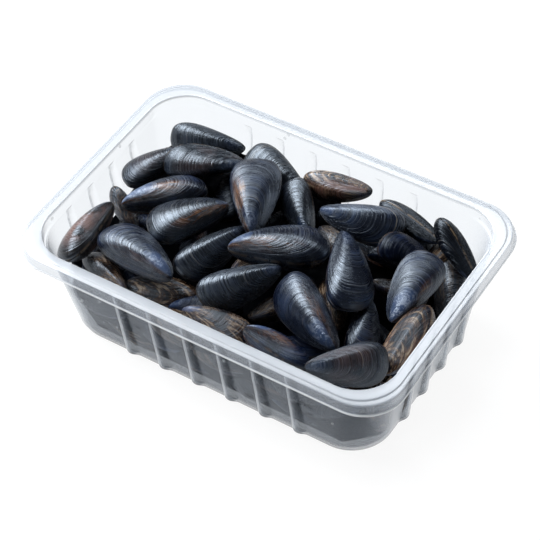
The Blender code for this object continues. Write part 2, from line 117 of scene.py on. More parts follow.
class Graph:
    """The node tree of one material, built by expressions."""

    def __init__(self, name: str) -> None:
        """Start an empty material.

        Args:
            name: The material's name.
        """
        self.material = bpy.data.materials.new(name)
        self.material.use_nodes = True
        self.tree = self.material.node_tree
        self.tree.nodes.clear()

    def add(self, kind: str, settings: dict, inputs: dict, output: str = "") -> "Wire":
        """Add any node and return one of its outputs.

        Args:
            kind: The node's type.
            settings: The node's properties, set first.
            inputs: Values or wires by socket name or identifier.
            output: The output's name or identifier, or "" for the first.

        Returns:
            The output as a Wire.
        """
        node = self.tree.nodes.new(kind)
        for key, value in settings.items():
            setattr(node, key, value)
        for key, value in inputs.items():
            self.plug(self.find(node.inputs, key), value)
        if not len(node.outputs):
            return Wire(self, None)
        return Wire(self, self.find(node.outputs, output) if output else node.outputs[0])

    @staticmethod
    def find(sockets: bpy.types.bpy_prop_collection, key: str) -> bpy.types.NodeSocket:
        """Find one socket of a node.

        Args:
            sockets: The node's inputs or outputs.
            key: The socket's identifier, or else its name.

        Returns:
            The socket.
        """
        for socket in sockets:
            if socket.identifier == key:
                return socket
        return sockets[key]

    def plug(self, socket: bpy.types.NodeSocket, value: "Wire | float | tuple[float, ...]") -> None:
        """Give an input socket a link or a value.

        Args:
            socket: The input socket.
            value: A wire to link to it, or a plain value to set.
        """
        if isinstance(value, Wire):
            self.tree.links.new(value.socket, socket)
        else:
            socket.default_value = value

    def math(self, operation: str, *values: "Wire | float") -> Wire:
        """Add a Math node.

        Args:
            operation: The node's operation.
            values: Its inputs in order.

        Returns:
            Its result.
        """
        node = self.tree.nodes.new("ShaderNodeMath")
        node.operation = operation
        for socket, value in zip(node.inputs, values):
            self.plug(socket, value)
        return Wire(self, node.outputs[0])

    def blend(self, share: "Wire | float", below: "Wire | Colour", above: "Wire | Colour") -> Wire:
        """Return the colour below, covered by the colour above by a share."""
        inputs = {"Factor_Float": share, "A_Color": rgba(below), "B_Color": rgba(above)}
        return self.add("ShaderNodeMix", {"data_type": "RGBA"}, inputs, "Result_Color")

    def attribute(self, name: str) -> Wire:
        """Return a number stored on the mesh."""
        return self.add("ShaderNodeAttribute", {"attribute_name": name}, {}, "Fac")

    def place(self) -> Wire:
        """Return the object coordinates."""
        return self.add("ShaderNodeTexCoord", {}, {}, "Object")

    def stretched(self, scale: tuple[float, float, float]) -> Wire:
        """Return the object coordinates, scaled along each axis."""
        inputs = {"Vector": self.place(), "Scale": scale}
        return self.add("ShaderNodeMapping", {}, inputs, "Vector")

    def combine(self, x: "Wire | float", y: "Wire | float", z: "Wire | float" = 0.0) -> Wire:
        """Return a vector from three numbers."""
        return self.add("ShaderNodeCombineXYZ", {}, {"X": x, "Y": y, "Z": z})

    def noise(self, where: Wire, scale: float, detail: float = 2.0, rough: float = 0.5) -> Wire:
        """Return smooth noise of about 0 to 1 over a vector."""
        inputs = {"Vector": where, "Scale": scale, "Detail": detail, "Roughness": rough}
        return self.add("ShaderNodeTexNoise", {}, inputs, "Fac")

    def noise_line(self, along: Wire, scale: float, detail: float = 2.0) -> Wire:
        """Return smooth noise of about 0 to 1 along one number."""
        inputs = {"W": along, "Scale": scale, "Detail": detail}
        return self.add("ShaderNodeTexNoise", {"noise_dimensions": "1D"}, inputs, "Fac")

    def bump(self, height: Wire, distance: float, strength: float = 1.0) -> Wire:
        """Return the normal of a bumped surface, the bump's depth in metres."""
        inputs = {"Height": height, "Distance": distance, "Strength": strength}
        return self.add("ShaderNodeBump", {}, inputs, "Normal")

    def finish(self, shader: Wire) -> bpy.types.Material:
        """Join a shader to the output and return the material."""
        self.add("ShaderNodeOutputMaterial", {}, {"Surface": shader})
        return self.material


def rgba(value: "Wire | Colour") -> "Wire | tuple[float, float, float, float]":
    """Return a colour with its fourth number, or a wire as it is."""
    return value if isinstance(value, Wire) else (*value, 1.0)


# Shell finish


class Tone(Enum):
    """The ground colour of a shell and the bloom over it, as linear colours."""

    NAVY = ((0.0012, 0.0022, 0.0075), (0.0065, 0.0140, 0.0420))
    BLACK = ((0.0012, 0.0017, 0.0034), (0.0040, 0.0066, 0.0145))
    SLATE = ((0.0020, 0.0030, 0.0060), (0.0140, 0.0200, 0.0340))
    INDIGO = ((0.0015, 0.0030, 0.0100), (0.0075, 0.0175, 0.0480))
    BROWN = ((0.0042, 0.0027, 0.0022), (0.0190, 0.0125, 0.0088))


# The other colours of a shell
THIN_RING = (0.075, 0.084, 0.098)
STRONG_RING = (0.16, 0.142, 0.118)
FACE_GROUND = (0.012, 0.0050, 0.0030)
FACE_RUST = (0.120, 0.044, 0.010)
FACE_GOLD = (0.260, 0.150, 0.065)
BROWN_STREAK = (0.085, 0.038, 0.014)
CREAM_STREAK = (0.42, 0.33, 0.23)
PINKISH = (0.120, 0.062, 0.046)
DENIM = (0.017, 0.040, 0.108)
WHITISH = (0.25, 0.29, 0.37)
TAN = (0.10, 0.070, 0.042)
SHEEN_TINT = (0.74, 0.86, 1.0)

# How many growth lines a shell's length has room for: hair lines, lines and bands
HAIR_SCALE, LINE_SCALE, BAND_SCALE = 150.0, 48.0, 13.0

# Noise for each metre: how the growth lines wander, clouds, patches and grain
WANDER_SCALE, CLOUD_SCALE, PATCH_SCALE, GRAIN_SCALE = 70.0, 60.0, 230.0, 1100.0

# The roughness of a clean shell, and the depth of its bumps in metres
SHELL_ROUGHNESS = 0.28
SHELL_BUMP = 0.0006


class Pattern(NamedTuple):
    """The numbers over a shell that its colours and relief are made from.

    Attributes:
        growth: From 0 at the beak to 1 at the edge.
        height: From -1 at the front to 1 at the back.
        lift: Distance from the plane of the seam, as a share of the length.
        hair: The finest growth lines.
        lines: The growth lines.
        bands: The broad growth bands.
        cloud: Soft clouds.
        patchy: Small patches.
        grain: Fine grain.
        streak: Streaks along the shell.
    """

    growth: Wire
    height: Wire
    lift: Wire
    hair: Wire
    lines: Wire
    bands: Wire
    cloud: Wire
    patchy: Wire
    grain: Wire
    streak: Wire

    @classmethod
    def over(cls, graph: Graph, seed: float) -> "Pattern":
        """Make the numbers.

        Args:
            graph: The graph of the shell's material.
            seed: Shifts the growth lines and streaks.

        Returns:
            The numbers.
        """
        place = graph.place()
        growth = graph.attribute("growth")
        wander = graph.noise(place, WANDER_SCALE) - 0.5
        lines_at = growth + wander * 0.03 + seed
        along = graph.combine(graph.attribute("ray") * 42.0, growth * 4.0, seed * 7.0)
        return cls(
            growth=growth,
            height=graph.attribute("height"),
            lift=graph.attribute("lift"),
            hair=graph.noise_line(lines_at, HAIR_SCALE, 1.0),
            lines=graph.noise_line(lines_at, LINE_SCALE, 1.0),
            bands=graph.noise_line(lines_at, BAND_SCALE, 1.0),
            cloud=graph.noise(place, CLOUD_SCALE, 3.0, 0.6),
            patchy=graph.noise(place, PATCH_SCALE, 4.0, 0.65),
            grain=graph.noise(place, GRAIN_SCALE, 2.0),
            streak=graph.noise(along, 1.0, 3.0, 0.6),
        )


@dataclass(frozen=True)
class ShellFinish:
    """The finish of one mussel's shell.

    Attributes:
        tone: Ground colour and bloom.
        rings: Strength of the pale growth lines.
        beak: Strength of the worn blue beak.
        beak_reach: Share of the shell that the worn beak covers.
        brown: Strength of the brown front face.
        front: Height, from -1 to 1 over the section, below which the front face lies.
        streaks: Strength of cream and brown streaks along the shell.
        patch: Strength of the worn pinkish patch at the shell's middle.
        edge: Strength of the tan line along the edge.
        shine: Strength of the reflections.
    """

    tone: Tone = Tone.NAVY
    rings: float = 0.35
    beak: float = 0.35
    beak_reach: float = 0.22
    brown: float = 0.0
    front: float = -0.3
    streaks: float = 0.0
    patch: float = 0.0
    edge: float = 0.35
    shine: float = 0.74

    def dress(self, name: str, seed: float) -> bpy.types.Material:
        """Make the material.

        Args:
            name: The material's name.
            seed: Shifts the growth lines, so that no two shells have the same.

        Returns:
            The material.
        """
        graph = Graph(name)
        on = Pattern.over(graph, seed)
        deep, bloom = self.tone.value
        colour = graph.blend(on.cloud.step(0.40, 0.70) * on.bands.step(0.30, 0.62), deep, bloom)
        colour = graph.blend(on.lines.step(0.47, 0.30) * 0.7, colour, deep)
        colour = self.add_rings(graph, on, colour)
        colour, face = self.add_front(graph, on, colour)
        colour = self.add_streaks(graph, on, colour)
        colour, worn = self.add_beak(graph, on, colour)
        colour, edge = self.add_edge(graph, on, colour)

        uneven = on.cloud.step(0.30, 0.70)
        lines_here = on.lines * (0.45 + uneven * 0.55)
        relief = on.hair * 0.35 + lines_here * 0.75 + on.bands * 0.6
        relief = relief + on.patchy * 0.16 + on.grain * 0.06
        dull = (on.lines - 0.5) * (0.15 + uneven * 0.35)
        dull = dull + (on.cloud - 0.5) * 0.30 + (on.patchy - 0.5) * 0.22
        inputs = {
            "Base Color": colour,
            "Roughness": SHELL_ROUGHNESS + dull + worn * 0.16 - face * 0.08 + edge * 0.1,
            "IOR": 1.6,
            "Specular IOR Level": self.shine,
            "Specular Tint": rgba(SHEEN_TINT),
            "Normal": graph.bump(relief, SHELL_BUMP, 0.85),
        }
        return graph.finish(graph.add("ShaderNodeBsdfPrincipled", {}, inputs))

    def add_rings(self, graph: Graph, on: Pattern, colour: Wire) -> Wire:
        """Cover a colour with pale growth lines, thin ones and a few strong ones.

        Args:
            graph: The material's graph.
            on: The shell's pattern.
            colour: The colour below.

        Returns:
            The colour with the lines.
        """
        thin = on.lines.step(0.54, 0.66) * on.hair.step(0.40, 0.60) * on.cloud.step(0.28, 0.60)
        colour = graph.blend(thin * (0.75 * self.rings), colour, THIN_RING)
        strong = on.bands.step(0.60, 0.68) * on.lines.step(0.55, 0.66) * on.cloud.step(0.36, 0.58)
        return graph.blend(strong * (1.1 * self.rings), colour, STRONG_RING)

    def add_front(self, graph: Graph, on: Pattern, colour: Wire) -> tuple[Wire, Wire]:
        """Cover the narrow front face with orange and brown blotches.

        Args:
            graph: The material's graph.
            on: The shell's pattern.
            colour: The colour below.

        Returns:
            The colour with the face, and where the face is.
        """
        reach = on.growth + (on.cloud - 0.5) * 0.35
        low = (on.height - (on.cloud - 0.5) * 0.5).step(self.front, self.front - 0.35)
        face = low * reach.step(0.10, 0.20) * reach.step(0.90, 0.50) * self.brown
        colour = graph.blend(face * 0.95, colour, FACE_GROUND)
        blotch = on.streak * 0.6 + on.cloud * 0.4
        colour = graph.blend(face * blotch.step(0.44, 0.58), colour, FACE_RUST)
        return graph.blend(face * blotch.step(0.57, 0.66), colour, FACE_GOLD), face

    def add_streaks(self, graph: Graph, on: Pattern, colour: Wire) -> Wire:
        """Cover a colour with cream and brown streaks along the shell, and a worn patch.

        Args:
            graph: The material's graph.
            on: The shell's pattern.
            colour: The colour below.

        Returns:
            The colour with the streaks and the patch.
        """
        brown = on.streak.step(0.40, 0.56) * on.cloud.step(0.30, 0.55)
        colour = graph.blend(brown * self.streaks, colour, BROWN_STREAK)
        cream = on.streak.step(0.51, 0.60) * on.cloud.step(0.38, 0.56)
        colour = graph.blend(cream * (0.85 * self.streaks), colour, CREAM_STREAK)
        middle = on.growth.step(0.25, 0.45) * on.growth.step(0.95, 0.70) * on.cloud.step(0.36, 0.56)
        return graph.blend(middle * self.patch, colour, PINKISH)

    def add_beak(self, graph: Graph, on: Pattern, colour: Wire) -> tuple[Wire, Wire]:
        """Cover the beak with worn denim blue and whitish flecks.

        Args:
            graph: The material's graph.
            on: The shell's pattern.
            colour: The colour below.

        Returns:
            The colour with the beak, and how worn the shell is there.
        """
        reach = self.beak_reach
        where = on.growth + (on.cloud - 0.5) * 0.25 + (on.patchy - 0.5) * 0.35
        worn = where.step(reach * 1.4, reach * 0.7) * self.beak
        colour = graph.blend(worn * 0.90, colour, DENIM)
        fleck = worn * (on.patchy * 0.6 + on.grain * 0.4).step(0.50, 0.57)
        return graph.blend(fleck * 0.80, colour, WHITISH), worn

    def add_edge(self, graph: Graph, on: Pattern, colour: Wire) -> tuple[Wire, Wire]:
        """Cover the edge of both valves with a broken tan line.

        Args:
            graph: The material's graph.
            on: The shell's pattern.
            colour: The colour below.

        Returns:
            The colour with the line, and where the line is.
        """
        near = on.lift.step(0.024, 0.010) * on.growth.step(0.30, 0.6)
        edge = near * (on.patchy.step(0.40, 0.58) * self.edge)
        return graph.blend(edge, colour, TAN), edge


# Shell form


def back_edge(t: float) -> float:
    """Return the height of the shell's back above its middle line, t from the beak."""
    return 0.385 * t**0.51 * (1 - t**4.5) ** 0.5


def front_edge(t: float) -> float:
    """Return the depth of the shell's front below its middle line."""
    return 0.210 * t**0.46 * (1 - t**4.5) ** 0.5


def half_thickness(t: float) -> float:
    """Return the greatest half thickness of the shut shell at t."""
    return 0.355 * t**0.47 * (1 - t**2.05) ** 0.6


def middle_line(t: float) -> float:
    """Return the height of the line that curves from the beak to the round end."""
    return 0.03 - 0.06 * (1 - t) ** 2


def section(height: float, fullest: float = -0.3) -> float:
    """Return the share of the half thickness at one height of the section.

    Args:
        height: From -1 at the front to 1 at the back.
        fullest: Where the section is thickest.

    Returns:
        The share, from 0 to 1.
    """
    if height >= fullest:
        share = (height - fullest) / (1 - fullest)
        return (1 - share**1.9) ** 0.85
    share = (fullest - height) / (1 + fullest)
    return (1 - share**2.6) ** 0.6


@dataclass
class ShellForm:
    """A shut mussel of length 1 with its beak at x 0, modelled once and copied.

    Attributes:
        rays: Steps round the edge of a valve.
        rings: Steps from the beak to the edge.
        lip: Half thickness of the two edges where they meet.
        lip_start: How far from the beak the lip has its full thickness.
        groove: How far the seam between them is sunk, as a share of the growth.
        groove_side: Half thickness of the seam on the way down, as a share of the lip.
    """

    rays: int = 52
    rings: int = 88
    lip: float = 0.0055
    lip_start: float = 0.08
    groove: float = 0.012
    groove_side: float = 0.45

    def outline(self, share: float) -> tuple[float, float]:
        """Return a point of the shell's edge, in the plane of the seam.

        Args:
            share: From 0 at the beak over the back and the round end to 1 at the beak.

        Returns:
            Its x and y.
        """
        upper = share <= 0.5
        t = (1 - math.cos(2 * math.pi * min(share, 1 - share))) / 2
        edge = back_edge(t) if upper else -front_edge(t)
        return t, middle_line(t) + edge

    def valve_point(self, ray: float, ring: int) -> tuple[float, float, float, float, float]:
        """Return one point of a valve.

        Args:
            ray: Its share of the way round the edge.
            ring: Its number from the beak. The last two are down in the seam.

        Returns:
            Its x, y and z, its growth and its height in the section.
        """
        last = self.rings - 2
        growth = min(ring / last, 1.0)
        edge_x, edge_y = self.outline(ray)
        beak_y = middle_line(0.0)
        x = edge_x * growth
        y = beak_y + (edge_y - beak_y) * growth
        top = middle_line(x) + back_edge(x)
        foot = middle_line(x) - front_edge(x)
        half = max((top - foot) / 2, 1e-9)
        height = max(-1.0, min(1.0, (y - (top + foot) / 2) / half))
        inner = growth < 1 and 0 < ray < 1
        z = half_thickness(x) * section(height) if inner else 0.0
        lip = self.lip * min(1.0, x / self.lip_start)
        z = math.hypot(z, lip) if ray not in (0, 1) else 0.0
        if ring > last:
            sunk = 1 - self.groove * (ring - last) / 2
            x = edge_x * sunk
            y = beak_y + (edge_y - beak_y) * sunk
            z = lip * self.groove_side if ring == last + 1 else 0.0
        return x, y, z, growth, height

    def model(self, name: str) -> bpy.types.Object:
        """Model the shell: one valve from a grid, mirrored, its edges joined.

        Args:
            name: The object's name.

        Returns:
            The shell, with the numbers growth, ray, height and lift on its points.
        """
        bpy.ops.object.select_all(action="DESELECT")
        bpy.ops.mesh.primitive_grid_add(x_subdivisions=self.rays, y_subdivisions=self.rings, size=1.0)
        shell = bpy.context.active_object
        shell.name = name
        mesh = shell.data
        numbers = {key: [] for key in ("growth", "ray", "height", "lift")}
        for vert in mesh.vertices:
            ray = round((vert.co.x + 0.5) * self.rays) / self.rays
            ring = round((vert.co.y + 0.5) * self.rings)
            x, y, z, growth, height = self.valve_point(ray, ring)
            vert.co = (x, y, z)
            for key, value in zip(numbers, (growth, ray, height, z)):
                numbers[key].append(value)
        for key, values in numbers.items():
            mesh.attributes.new(key, "FLOAT", "POINT").data.foreach_set("value", values)
        mirror = shell.modifiers.new("mirror", "MIRROR")
        mirror.use_axis = (False, False, True)
        mirror.merge_threshold = MERGE
        bpy.ops.object.modifier_apply(modifier=mirror.name)
        bpy.ops.object.mode_set(mode="EDIT")
        bpy.ops.mesh.select_all(action="SELECT")
        bpy.ops.mesh.remove_doubles(threshold=MERGE)
        bpy.ops.mesh.normals_make_consistent(inside=False)
        bpy.ops.object.mode_set(mode="OBJECT")
        bpy.ops.object.shade_smooth()
        return shell


class Turn(NamedTuple):
    """How a mussel lies, in degrees: its heading, how its round end rises, and its roll."""

    heading: float
    pitch: float
    roll: float

    def matrix(self) -> np.ndarray:
        """Turn by the roll first, then the pitch and the heading.

        Returns:
            The rotation.
        """
        turn = Matrix.Rotation(math.radians(self.heading), 3, "Z")
        turn = turn @ Matrix.Rotation(math.radians(-self.pitch), 3, "Y")
        return np.array(turn @ Matrix.Rotation(math.radians(self.roll), 3, "X"))


def read_numbers(items: bpy.types.bpy_prop_collection, key: str, width: int = 1) -> np.ndarray:
    """Read one property of every item of a mesh.

    Args:
        items: The mesh's vertices or the like.
        key: The property's name.
        width: How many numbers it has.

    Returns:
        One number, or one row of numbers, for each item.
    """
    flat = np.empty(len(items) * width)
    items.foreach_get(key, flat)
    return flat.reshape(-1, width) if width > 1 else flat


def cover(piece: bpy.types.Object, material: bpy.types.Material) -> None:
    """Give a piece its one material."""
    piece.data.materials.clear()
    piece.data.materials.append(material)


@dataclass
class Mussels:
    """Places copies of the modelled shell, each with its own growth relief.

    Attributes:
        form: The shell's form.
        relief: Depth of the growth steps, in millimetres.
        waver: How far the steps wander, as a share of the growth.
        step_widths: Least and greatest width of a step, as a share of the growth.
        step_rises: Least and greatest height of a step, as a share of the relief.
        step_dips: The same of the dip that follows it.
        crest: Where in its width a step is highest.
        smooth_beak: Share of the growth over which the steps grow from nothing.
        smooth_edge: Share of the growth over which they fade at the edge.
        template: The modelled shell, from prepare to discard.
    """

    form: ShellForm
    relief: float = 0.13
    waver: float = 0.008
    step_widths: tuple[float, float] = (0.018, 0.08)
    step_rises: tuple[float, float] = (0.15, 1.0)
    step_dips: tuple[float, float] = (-0.5, 0.1)
    crest: float = 0.68
    smooth_beak: float = 0.35
    smooth_edge: float = 0.03
    template: bpy.types.Object | None = field(default=None, repr=False)

    def prepare(self, name: str) -> None:
        """Model the shell that the others are copied from."""
        self.template = self.form.model(name)

    def discard(self) -> None:
        """Remove the modelled shell, once all copies are placed."""
        bpy.data.objects.remove(self.template, do_unlink=True)

    def steps(self, growth: np.ndarray, draw: random.Random) -> np.ndarray:
        """Return the height of the growth steps.

        Args:
            growth: The growth at each point.
            draw: Draws the steps.

        Returns:
            The height at each point, from about -1 to 1.
        """
        places = [0.0]
        levels = [0.0]
        while places[-1] < 1:
            width = draw.uniform(*self.step_widths)
            rise = draw.uniform(*self.step_rises)
            places.extend((places[-1] + width * self.crest, places[-1] + width))
            levels.extend((rise, draw.uniform(*self.step_dips)))
        return np.interp(growth, places, levels)

    def copy(
        self, name: str, turn: Turn, size: np.ndarray, centre: np.ndarray, seed: int
    ) -> bpy.types.Object:
        """Place one mussel.

        Args:
            name: The new object's name.
            turn: How it lies.
            size: Its length, and the scale of its breadth and thickness, in metres.
            centre: The middle of its length, in metres.
            seed: Draws its growth steps.

        Returns:
            The mussel, at the origin, with its place in its mesh.
        """
        draw = random.Random(seed)
        mesh = self.template.data.copy()
        unit = read_numbers(mesh.vertices, "co", 3)
        growth = read_numbers(mesh.attributes["growth"].data, "value")
        ray = read_numbers(mesh.attributes["ray"].data, "value")
        phase = draw.uniform(0, 2 * math.pi)
        ripple = np.sin(23 * ray + 2 * phase + 4 * np.sign(unit[:, 2]))
        wander = np.sin(9 * math.pi * ray + phase) + 0.6 * ripple
        step = self.steps(growth + self.waver * wander * growth, draw)
        fade = np.clip(growth / self.smooth_beak, 0, 1) ** 1.5
        fade *= np.clip((1 - growth) / self.smooth_edge, 0, 1)
        points = (unit - (0.5, 0, 0)) * size
        facing = read_numbers(mesh.vertex_normals, "vector", 3) / size
        facing /= np.linalg.norm(facing, axis=1)[:, None]
        points += facing * (self.relief * MM * (step * fade))[:, None]
        points = points @ turn.matrix().T + centre
        mesh.vertices.foreach_set("co", points.ravel())
        mesh.update()
        mussel = bpy.data.objects.new(name, mesh)
        bpy.context.collection.objects.link(mussel)
        return mussel


# Heap


class Lay(NamedTuple):
    """How one mussel of the heap is turned, and its finish."""

    turn: Turn
    finish: ShellFinish


def lay(heading: float, pitch: float, roll: float, tone: Tone, **finish: float) -> Lay:
    """Return one row of the heap."""
    return Lay(Turn(heading, pitch, roll), ShellFinish(tone, **finish))


# One row for each packed mussel, in order
HEAP = (
    lay(20, 2, -4, Tone.NAVY, rings=0.7, beak=0.8, brown=0.6, edge=0.6),
    lay(146, 12, -30, Tone.INDIGO, rings=0.3, beak=0.7, beak_reach=0.28, brown=0.4),
    lay(-64, -4, -18, Tone.INDIGO, rings=0.55, beak=0.25, shine=0.85),
    lay(76, 14, 28, Tone.NAVY, rings=0.4, beak=1.0, beak_reach=0.36, brown=0.4, edge=0.2),
    lay(-118, -4, 170, Tone.SLATE, rings=0.4, beak=0.3, brown=1.0, beak_reach=0.12),
    lay(132, 10, 168, Tone.INDIGO, rings=0.5, beak=0.3, brown=1.0),
    lay(-130, 4, -32, Tone.SLATE, rings=0.35, beak=0.35, shine=0.9),
    lay(22, 0, -148, Tone.INDIGO, rings=1.0, beak=0.6, edge=0.6, shine=0.8),
    lay(46, 4, -144, Tone.SLATE, rings=1.0, beak=0.2, patch=0.2, shine=0.6),
    lay(176, -2, 174, Tone.INDIGO, rings=0.35, beak=0.9, beak_reach=0.26, brown=0.3),
    lay(40, 0, -2, Tone.NAVY, rings=0.6, beak=1.0, beak_reach=0.36, brown=1.0, front=-0.1),
    lay(-142, -2, 128, Tone.SLATE, rings=0.5, beak=0.3, patch=0.2),
    lay(-114, 2, -28, Tone.SLATE, rings=0.35, beak=0.2, shine=0.85),
    lay(86, 18, -94, Tone.BLACK, rings=0.4, brown=1.0, front=0.3, streaks=0.5, shine=0.25),
    lay(130, 22, -24, Tone.SLATE, rings=0.4, beak=0.3, edge=0.9, shine=0.9),
    lay(-108, -4, 170, Tone.SLATE, rings=0.5, beak=0.2, patch=0.15),
    lay(-168, 8, -34, Tone.SLATE, rings=0.4, beak=0.2, edge=0.6),
    lay(40, 10, -128, Tone.NAVY, rings=0.3, beak=0.6),
    lay(-172, -2, -80, Tone.BROWN, rings=0.25, streaks=1.0, patch=1.0, edge=1.0),
    lay(164, 18, -16, Tone.BLACK, rings=1.0, beak=0.1),
    lay(-86, -4, -154, Tone.BROWN, rings=0.3, beak=0.1, patch=1.0, edge=1.0),
    lay(158, 38, -86, Tone.BLACK, rings=0.35, edge=1.0, shine=0.45),
    lay(100, 42, 32, Tone.BLACK, rings=0.5, beak=0.3, streaks=0.15),
    lay(-8, -4, -38, Tone.NAVY, rings=0.3, beak=1.0, beak_reach=0.3, brown=0.5, shine=0.35),
    lay(14, -4, 180, Tone.BLACK, rings=0.3, beak=0.6, streaks=0.5, edge=0.7, shine=0.3),
    lay(16, 0, -34, Tone.BROWN, rings=0.45, streaks=1.0, edge=0.6),
    lay(168, 2, -176, Tone.BROWN, rings=0.3, streaks=1.0, edge=0.6),
    lay(-76, -10, -26, Tone.NAVY, rings=0.3, beak=0.2),
    lay(172, 10, -90, Tone.BLACK, rings=0.3, edge=1.0, shine=0.45),
    lay(152, 34, -78, Tone.SLATE, rings=0.4, streaks=0.3),
    lay(148, 86, -102, Tone.BROWN, rings=0.4, streaks=0.8),
    lay(-26, -6, 42, Tone.BROWN, rings=0.4, streaks=0.4),
    lay(20, -4, -120, Tone.BROWN, rings=0.3, streaks=0.4),
    lay(72, -6, -122, Tone.BROWN, rings=0.3, streaks=0.5),
)


@dataclass
class Heap:
    """The mussels that show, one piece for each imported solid.

    Attributes:
        mussels: Places the mussels.
        seed_step: How far the growth lines shift from one mussel to the next.
    """

    mussels: Mussels
    seed_step: float = 3.7

    @staticmethod
    def packed(index: int) -> bpy.types.Mesh:
        """Return the mesh of a mussel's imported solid, by its row in the heap."""
        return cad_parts[f"mussel_{index + 1:02d}"].data

    def build(self) -> None:
        """Place and dress the mussels."""
        self.mussels.prepare("heap_shell")
        unit = read_numbers(self.mussels.template.data.vertices, "co", 3) - (0.5, 0, 0)
        low, high = unit.min(0), unit.max(0)
        for index, row in enumerate(HEAP):
            node = f"mussel_{index + 1:02d}"
            level = read_numbers(self.packed(index).vertices, "co", 3) @ row.turn.matrix()
            size = (level.max(0) - level.min(0)) / (high - low)
            centre = row.turn.matrix() @ (level.min(0) - low * size)
            piece = self.mussels.copy(f"shell_{index + 1:02d}", row.turn, size, centre, index)
            cover(piece, row.finish.dress(f"mussel_shell_{index + 1:02d}", self.seed_step * index))
            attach(piece, BODY)
            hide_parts(node)
            faces = len(piece.data.polygons)
            log.info("%s: %d faces, length %.1f mm", piece.name, faces, size[0] / MM)
        self.mussels.discard()


# Tray


class Ring(NamedTuple):
    """One level of the tray's skin, in millimetres.

    Attributes:
        inset: Distance in from the flange's outer edge.
        z: Height above the base.
        rib_depth: How far the ribs stand out.
        rib_width: Width of each rib.
        ledge: How far each corner stands out.
        dense: How much denser the plastic is than in the walls; above 1 it draws a dark line of
            painted shade.
    """

    inset: float
    z: float
    rib_depth: float = 0.0
    rib_width: float = 8.0
    ledge: float = 0.0
    dense: float = 0.0


